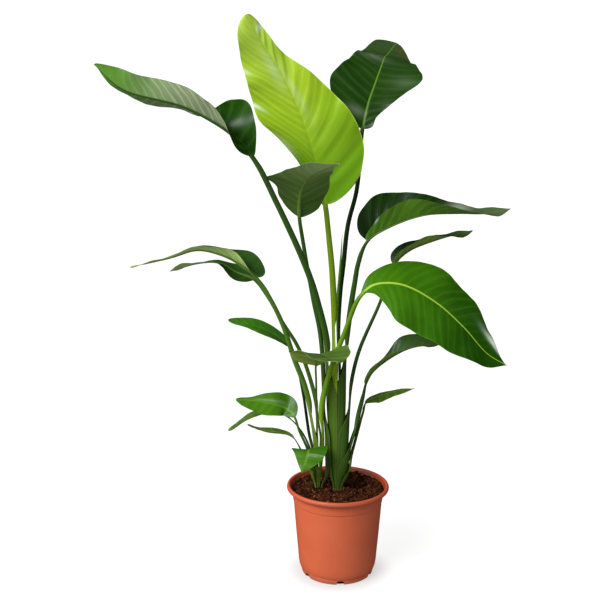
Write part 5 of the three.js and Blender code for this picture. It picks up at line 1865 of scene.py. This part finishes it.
@dataclass(frozen=True)
class Soil:
    """Peat and coir that fill the pot, with a hollow at the front right.

    Attributes:
        height: Height of the surface without lumps.
        edge: Radius and height of the edge.
        neck: Radius and height of the narrower place below the edge.
        shoulder: Radius and height of the shoulder inside the pot.
        floor: Radius and height of the underside.
        hollow: Place and radius of the hollow.
        depth: Depth of the hollow.
        lumps: Heights of the long and the short waves of the surface.
        octaves: Cell and height of each size of grain.
        levelling: Width of the ring along the edge in which the surface evens out.
        unevenness: Share of the lumps that is left at the edge.
        rings: Rings of the surface.
        segments: Points in a ring.
    """

    height: float = 207.0
    edge: tuple[float, float] = (107.8, 206.0)
    neck: tuple[float, float] = (104.0, 200.4)
    shoulder: tuple[float, float] = (88.8, 29.0)
    floor: tuple[float, float] = (81.6, 2.7)
    hollow: tuple[float, float, float] = (54.0, 12.0, 24.0)
    depth: float = 14.0
    lumps: tuple[float, float] = (2.2, 1.4)
    octaves: tuple[tuple[float, float], ...] = ((14.0, 3.2), (7.5, 3.0), (4.0, 2.0), (2.1, 0.9))
    levelling: float = 9.0
    unevenness: float = 0.25
    rings: int = 110
    segments: int = 240

    GROUND_CREASE = 60.0
    GRAIN_CREASE = 40.0
    RELIEF = 0.0012
    TINT_SEED = SEED + 20
    TINT_CELL = 1.7
    TINT_HEIGHT = 9.0
    TINT_MIDDLE = 0.42
    TINT_BY_HEIGHT = 0.42
    TINT_BY_GRAIN = 0.24
    TINT_LOSS = 0.02

    def level(self, x: Array, y: Array) -> Array:
        """Height of the surface: broad lumps, the hollow, and grain of several sizes.

        Args:
            x: First coordinates.
            y: Second coordinates.

        Returns:
            The heights.
        """
        large = self.lumps[0] * np.sin(x / 9 + 1.3) * np.cos(y / 11 - 0.4)
        small = self.lumps[1] * np.sin((x + 2 * y) / 13 + 2.1)
        away = np.hypot(x - self.hollow[0], y - self.hollow[1]) / self.hollow[2]
        inside = smooth((self.edge[0] - np.hypot(x, y)) / self.levelling)
        grains = sum(
            size * grain(x, y, cell, SEED + k) for k, (cell, size) in enumerate(self.octaves)
        )
        top = self.height + large + small - self.depth * (1 - smooth(away)) + grains
        return mix(self.edge[1], top, self.unevenness + (1 - self.unevenness) * inside)

    def material(self) -> bpy.types.Material:
        """Brown-black ground whose crumbs and fibres differ in tint.

        Returns:
            The material.
        """
        paint = Paint("peat")
        place = paint.place()
        tint = paint.value("tint")
        broad = paint.noise(place, 60.0, 4.0)
        fine = paint.noise(place, 480.0, 4.0, 0.65)
        shade = tint * 0.75 + fine.step(0.25, 0.75) * 0.3 - 0.08 + broad * 0.06
        stops = [
            (0.0, (0.006, 0.0024, 0.001)),
            (0.3, (0.031, 0.0082, 0.0026)),
            (0.55, (0.115, 0.031, 0.009)),
            (0.8, (0.31, 0.11, 0.038)),
            (1.0, (0.5, 0.24, 0.12)),
        ]
        inputs = {
            "Base Color": paint.node(
                "ShaderNodeValToRGB", {"stops": stops}, {0: shade.math("MAXIMUM", 0.0)}
            ),
            "Roughness": 0.75 + fine * 0.2,
            "Specular IOR Level": 0.08,
            "Normal": paint.bump(fine * 0.7 + broad * 0.3, self.RELIEF, 0.9),
        }
        return paint.finish(inputs)

    def scattered(
        self, count: int, seed: int, inset: float
    ) -> tuple[np.random.Generator, Array, Array]:
        """Random places on the surface, even over its area.

        Args:
            count: How many.
            seed: Seed of the draw.
            inset: Distance that they keep from the edge.

        Returns:
            The generator, and the places' x and y.
        """
        draw = np.random.default_rng(seed)
        radius = (self.edge[0] - inset) * np.sqrt(draw.uniform(0.0, 1.0, count))
        angle = draw.uniform(0.0, 2 * np.pi, count)
        return draw, radius * np.cos(angle), radius * np.sin(angle)

    def ground(self) -> Shell:
        """Surface, side and underside as one closed body of revolution with its own heights.

        Returns:
            The shell, with the tint of each point.
        """
        inward = self.edge[0] * (1 - np.arange(self.rings) / self.rings)
        radii = np.concatenate([[self.floor[0], self.shoulder[0], self.neck[0]], inward])
        angles = full_turn(self.segments)
        top = self.level(np.outer(inward, np.cos(angles)), np.outer(inward, np.sin(angles)))
        below = np.array([self.floor[1], self.floor[1], self.shoulder[1], self.neck[1]])
        low = np.tile(below[:, None], (1, self.segments))
        middle = np.full((1, self.segments), float(self.level(np.zeros(1), np.zeros(1))[0]))
        shell = lathe(radii, np.vstack([low, top, middle]), self.segments)
        x, y, z = shell.points.T
        rise = (z - self.height) / self.TINT_HEIGHT + self.TINT_MIDDLE
        grains = grain(x, y, self.TINT_CELL, self.TINT_SEED)
        tint = self.TINT_BY_HEIGHT * rise + self.TINT_BY_GRAIN * grains - self.TINT_LOSS
        shell.values = {"tint": np.clip(tint, 0.0, 1.0)}
        return shell

    def build(self) -> None:
        """Make the ground, its crumbs and its fibres."""
        coat = [self.material()]
        ground = make_piece("soil_ground", [self.ground()], coat, self.GROUND_CREASE)
        settle(ground, "soil")
        loose = (("soil_crumbs", Crumbs().shell(self)), ("soil_fibres", Fibres().shell(self)))
        for name, shell in loose:
            piece = make_piece(name, [shell], coat, self.GRAIN_CREASE)
            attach(piece, "root")
            log.info("%s: %d faces", name, len(shell.faces))


def icosahedron() -> tuple[Array, Array]:
    """Body with twenty equal faces and radius 1.

    Returns:
        Its corners, and its faces as corner numbers.
    """
    golden = (1 + 5**0.5) / 2
    places = []
    for a in (-1.0, 1.0):
        for b in (-golden, golden):
            places += [(0.0, a, b), (a, b, 0.0), (b, 0.0, a)]
    ball = unit(np.array(places))
    # Corners with an edge between them are 1.05 apart, and others 1.7 or more.
    near = np.linalg.norm(ball[:, None] - ball[None], axis=-1) < 1.2
    faces = []
    for i, j, k in combinations(range(len(ball)), 3):
        if near[i, j] and near[j, k] and near[i, k]:
            outward = np.dot(np.cross(ball[j] - ball[i], ball[k] - ball[i]), ball[i]) > 0
            faces.append((i, j, k) if outward else (i, k, j))
    return ball, np.array(faces)


@dataclass(frozen=True)
class Crumbs:
    """Loose lumps on the soil: twenty-faced bodies, stretched, turned and sunk in a little.

    Attributes:
        count: How many.
        seed: Seed of the draw.
        inset: Distance that they keep from the soil's edge.
        smallest: Least radius.
        growth: Greatest radius less the least.
        rarity: Power by which large ones are rarer.
        stretch: Range of the stretch in each direction.
        knobs: Range of the distances of corners.
        lift: Share of the radius by which the middle stands above the ground.
        tint: Mean and spread of the tint.
        darkening: Loss of tint for each millimetre of radius.
        darkest: Least tint.
    """

    count: int = 1500
    seed: int = SEED + 30
    inset: float = 3.0
    smallest: float = 0.6
    growth: float = 3.6
    rarity: float = 2.8
    stretch: tuple[float, float] = (0.55, 1.25)
    knobs: tuple[float, float] = (0.7, 1.2)
    lift: float = 0.25
    tint: tuple[float, float] = (0.4, 0.24)
    darkening: float = 0.02
    darkest: float = 0.02

    def shell(self, soil: Soil) -> Shell:
        """All the crumbs in one shell.

        Args:
            soil: Soil that they lie on.

        Returns:
            The shell, with the tint of each point.
        """
        ball, faces = icosahedron()
        corner_count = len(ball)
        draw, x, y = soil.scattered(self.count, self.seed, self.inset)
        size = self.smallest + self.growth * draw.uniform(0.0, 1.0, self.count) ** self.rarity
        stretch = draw.uniform(*self.stretch, (self.count, 1, 3))
        knobs = draw.uniform(*self.knobs, (self.count, corner_count, 1))
        turn, _ = np.linalg.qr(draw.normal(size=(self.count, 3, 3)))
        turn *= np.sign(np.linalg.det(turn))[:, None, None]
        body = np.einsum("nij,nkj->nki", turn, ball * stretch * knobs) * size[:, None, None]
        centre = np.stack([x, y, soil.level(x, y) + self.lift * size], axis=-1)
        points = (body + centre[:, None]).reshape(-1, 3)
        numbers = faces[None] + corner_count * np.arange(self.count)[:, None, None]
        tint = draw.normal(*self.tint, self.count) - self.darkening * size
        tint = np.repeat(np.clip(tint, self.darkest, 1.0), corner_count)
        return Shell(points, numbers.reshape(-1, 3).tolist(), {"tint": tint})


@dataclass(frozen=True)
class Fibres:
    """Coir fibres on the soil: thin tubes along arcs that rise and bend at random.

    Attributes:
        count: How many.
        seed: Seed of the draw.
        rings: Rings along a fibre.
        sides: Points in a ring.
        inset: Distance that their middles keep from the soil's edge.
        margin: Distance that their ends keep from it.
        shortest: Least length.
        growth: Greatest length less the least.
        bend: Spread of their bend in radians.
        arch: Range of the arch's height.
        thick: Range of the radius.
        lift: Range of the height above the ground.
        levelling: Share by which they stay level over lumps.
        taper: Share of the radius lost at the ends.
        tint: Mean and spread of the tint.
        darkest: Least tint.
    """

    count: int = 900
    seed: int = SEED + 40
    rings: int = 8
    sides: int = 5
    inset: float = 7.0
    margin: float = 2.5
    shortest: float = 3.5
    growth: float = 14.0
    bend: float = 0.9
    arch: tuple[float, float] = (0.2, 2.4)
    thick: tuple[float, float] = (0.16, 0.42)
    lift: tuple[float, float] = (-0.3, 0.7)
    levelling: float = 0.3
    taper: float = 0.75
    tint: tuple[float, float] = (0.55, 0.2)
    darkest: float = 0.1

    @staticmethod
    def walk(start: Array, steps: Array) -> Array:
        """Places after each step of walks whose middles lie at the starts."""
        return start[:, None] + np.cumsum(steps, axis=1) - steps.sum(axis=1, keepdims=True) / 2

    def tubes(self, path: Array, radius: Array) -> Array:
        """Rings of points round paths.

        Args:
            path: Array of fibres, places along a fibre, and coordinates.
            radius: Radius at each place.

        Returns:
            Array of fibres, rings, points in a ring, and coordinates.
        """
        tangent = unit(np.gradient(path, axis=1))
        aside = unit(np.cross(tangent, UPWARD))
        above = np.cross(aside, tangent)
        around = full_turn(self.sides)[:, None]
        spoke = aside[:, :, None] * np.cos(around) + above[:, :, None] * np.sin(around)
        return path[:, :, None] + radius[..., None, None] * spoke

    def shell(self, soil: Soil) -> Shell:
        """All the fibres in one shell.

        Args:
            soil: Soil that they lie on.

        Returns:
            The shell, with the tint of each point.
        """
        draw, x, y = soil.scattered(self.count, self.seed, self.inset)
        heading = draw.uniform(0.0, 2 * np.pi, self.count)
        length = self.shortest + self.growth * draw.uniform(0.0, 1.0, self.count) ** 2
        bend = draw.normal(0.0, self.bend, self.count)
        arch = draw.uniform(*self.arch, self.count)
        thick = draw.uniform(*self.thick, self.count)
        t = np.linspace(-0.5, 0.5, self.rings)[None, :]
        angle = heading[:, None] + bend[:, None] * t
        stride = (length / self.rings)[:, None]
        px = self.walk(x, np.cos(angle) * stride)
        py = self.walk(y, np.sin(angle) * stride)
        away = np.maximum(np.hypot(px, py), 1.0)
        pull = np.minimum(1.0, (soil.edge[0] - self.margin) / away)
        px, py = px * pull, py * pull
        lift = arch[:, None] * (1 - 4 * t * t) + draw.uniform(*self.lift, self.count)[:, None]
        ground = mix(soil.level(px, py), soil.level(x, y)[:, None], self.levelling)
        radius = thick[:, None] * (1 - self.taper * (2 * t) ** 4)
        points = self.tubes(np.stack([px, py, ground + lift], axis=-1), radius)
        one = np.arange(self.rings * self.sides).reshape(self.rings, self.sides)
        caps = np.array([one[0, ::-1], one[-1]])
        start = one.size * np.arange(self.count)[:, None, None]
        faces = (bands(one)[None] + start).reshape(-1, 4).tolist()
        faces += (caps[None] + start).reshape(-1, self.sides).tolist()
        tint = np.clip(draw.normal(*self.tint, self.count), self.darkest, 1.0)
        return Shell(points.reshape(-1, 3), faces, {"tint": np.repeat(tint, one.size)})


# Studio


@dataclass(frozen=True)
class Studio:
    """White sweep, soft light from the upper left front, and the camera.

    Attributes:
        floor: Radius of the flat floor in metres.
        wall: Radius and height of the wall in metres.
        sun: Direction towards the light.
        spread: Angle that the light covers, in degrees.
        power: Strength of the light.
        ambient: Grey of the surrounding light.
        glow: Light that the sweep itself gives off, as a lit backdrop does.
        painted_shadow: Share of the glow that is left where the pot stands, as painted shadow.
        painted_shadow_reach: Distances from the pot's middle, in metres, between which the glow
            comes back.
        box_place: Place of the soft box in metres; it faces the plant.
        box_size: Width and height of the soft box in metres.
        box_power: Power of the soft box in watts.
        box_aim: Height in metres that the soft box faces.
        place: Place of the camera in metres.
        pitch: Angle in degrees by which the camera looks down.
        lens: Focal length.
        sensor: Width of the sensor.
        rings: Rings of the fillet between floor and wall.
        segments: Points in a ring of the sweep.
    """

    floor: float = 5.0
    wall: tuple[float, float] = (6.0, 3.2)
    sun: Point = (-0.5, -0.6, 0.62)
    spread: float = 30.0
    power: float = 2.7
    ambient: float = 0.42
    glow: float = 0.84
    painted_shadow: float = 0.7
    painted_shadow_reach: tuple[float, float] = (0.08, 0.145)
    box_place: Point = (-2.6, -0.9, 1.7)
    box_size: tuple[float, float] = (1.6, 2.4)
    box_power: float = 34.0
    box_aim: float = 0.7
    place: Point = (-0.089, -2.3, 1.147)
    pitch: float = 12.0
    lens: float = 62.28
    sensor: float = 36.0
    rings: int = 24
    segments: int = 128

    FLOOR_RINGS = (1.0, 2.5)
    CREASE = 60.0
    FARTHEST = 100.0

    def material(self) -> bpy.types.Material:
        """White ground that gives off light, less of it where the pot stands: a painted round
        shadow.

        Returns:
            The material.
        """
        paint = Paint("studio_white")
        place = paint.place()
        shade = paint.noise(place, 0.8, 2.0)
        away = paint.node("ShaderNodeVectorMath", {"operation": "LENGTH"}, {0: place}, 1)
        # Painted contact shadow: the glow is dimmed round the pot's foot.
        share = away.step(*self.painted_shadow_reach)
        inputs = {
            "Base Color": paint.blend((0.24, 0.24, 0.24), (0.26, 0.26, 0.26), shade),
            "Roughness": 0.95,
            "Specular IOR Level": 0.1,
            "Emission Color": paint.blend((self.painted_shadow,) * 3, (1.0, 1.0, 1.0), share),
            "Emission Strength": self.glow,
        }
        return paint.finish(inputs)

    def sweep(self) -> None:
        """Make the floor that curves up into a round wall, facing inwards and open above."""
        quarter = np.linspace(0.0, np.pi / 2, self.rings)
        fillet = self.wall[0] - self.floor
        bend = self.floor + fillet * np.sin(quarter)
        radii = np.concatenate([self.FLOOR_RINGS, bend, [self.wall[0]]])
        level = np.zeros(len(self.FLOOR_RINGS))
        heights = np.concatenate([level, fillet * (1 - np.cos(quarter)), [self.wall[1]]])
        skinned = skin(circles(radii, heights[:, None], self.segments))
        shell = Shell(skinned.points / MM, [face[::-1] for face in skinned.faces[:-1]])
        sweep = make_piece("studio_sweep", [shell], [self.material()], self.CREASE)
        sweep.visible_diffuse = False
        sweep.visible_glossy = False

    @staticmethod
    def put(name: str, data: bpy.types.ID, place: Point = (0.0, 0.0, 0.0)) -> bpy.types.Object:
        """Put a light or the camera into the scene.

        Args:
            name: Name of the object.
            data: Light or camera.
            place: Place in metres.

        Returns:
            The object.
        """
        thing = bpy.data.objects.new(name, data)
        thing.location = place
        bpy.context.scene.collection.objects.link(thing)
        return thing

    def lights(self) -> None:
        """Make the surrounding light, the soft sun and the soft box."""
        world = bpy.data.worlds.new("studio_air")
        world.use_nodes = True
        air = world.node_tree.nodes["Background"].inputs["Color"]
        air.default_value = (self.ambient,) * 3 + (1.0,)
        world.cycles_visibility.glossy = False
        bpy.context.scene.world = world
        lamp = bpy.data.lights.new("soft_sun", "SUN")
        lamp.energy = self.power
        lamp.angle = math.radians(self.spread)
        sun = self.put("soft_sun", lamp)
        sun.rotation_euler = Vector(self.sun).to_track_quat("Z", "Y").to_euler()
        panel = bpy.data.lights.new("soft_box", "AREA")
        panel.shape = "RECTANGLE"
        panel.size, panel.size_y = self.box_size
        panel.energy = self.box_power
        box = self.put("soft_box", panel, self.box_place)
        aim = Vector(self.box_place) - Vector((0.0, 0.0, self.box_aim))
        box.rotation_euler = aim.to_track_quat("Z", "Y").to_euler()

    def camera(self) -> None:
        """Make the camera that sees the plant as the photo does."""
        camera = bpy.data.cameras.new("camera")
        camera.lens = self.lens
        camera.sensor_fit = "HORIZONTAL"
        camera.sensor_width = self.sensor
        camera.clip_end = self.FARTHEST
        eye = self.put("camera", camera, self.place)
        eye.rotation_euler = (math.radians(90.0 - self.pitch), 0.0, 0.0)
        bpy.context.scene.camera = eye

    def build(self) -> None:
        """Make the sweep, the lights and the camera."""
        self.sweep()
        self.lights()
        self.camera()
        bpy.context.scene.view_settings.view_transform = "Standard"


def main() -> None:
    """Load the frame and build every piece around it."""
    logging.basicConfig(level=logging.INFO, format="%(name)s %(message)s", stream=sys.stdout)
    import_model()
    Studio().build()
    Pot().build()
    Soil().build()
    materials = {}
    for finish in Finish:
        name = "leaf_" + finish.name.lower()
        materials[finish] = [finish.value.blade(name), finish.value.stem(name)]
    for plan in LEAVES:
        Leaf(plan).build(materials)
    RolledLeaf().build()
    OldSheath().build()


if __name__ == "__main__":
    main()
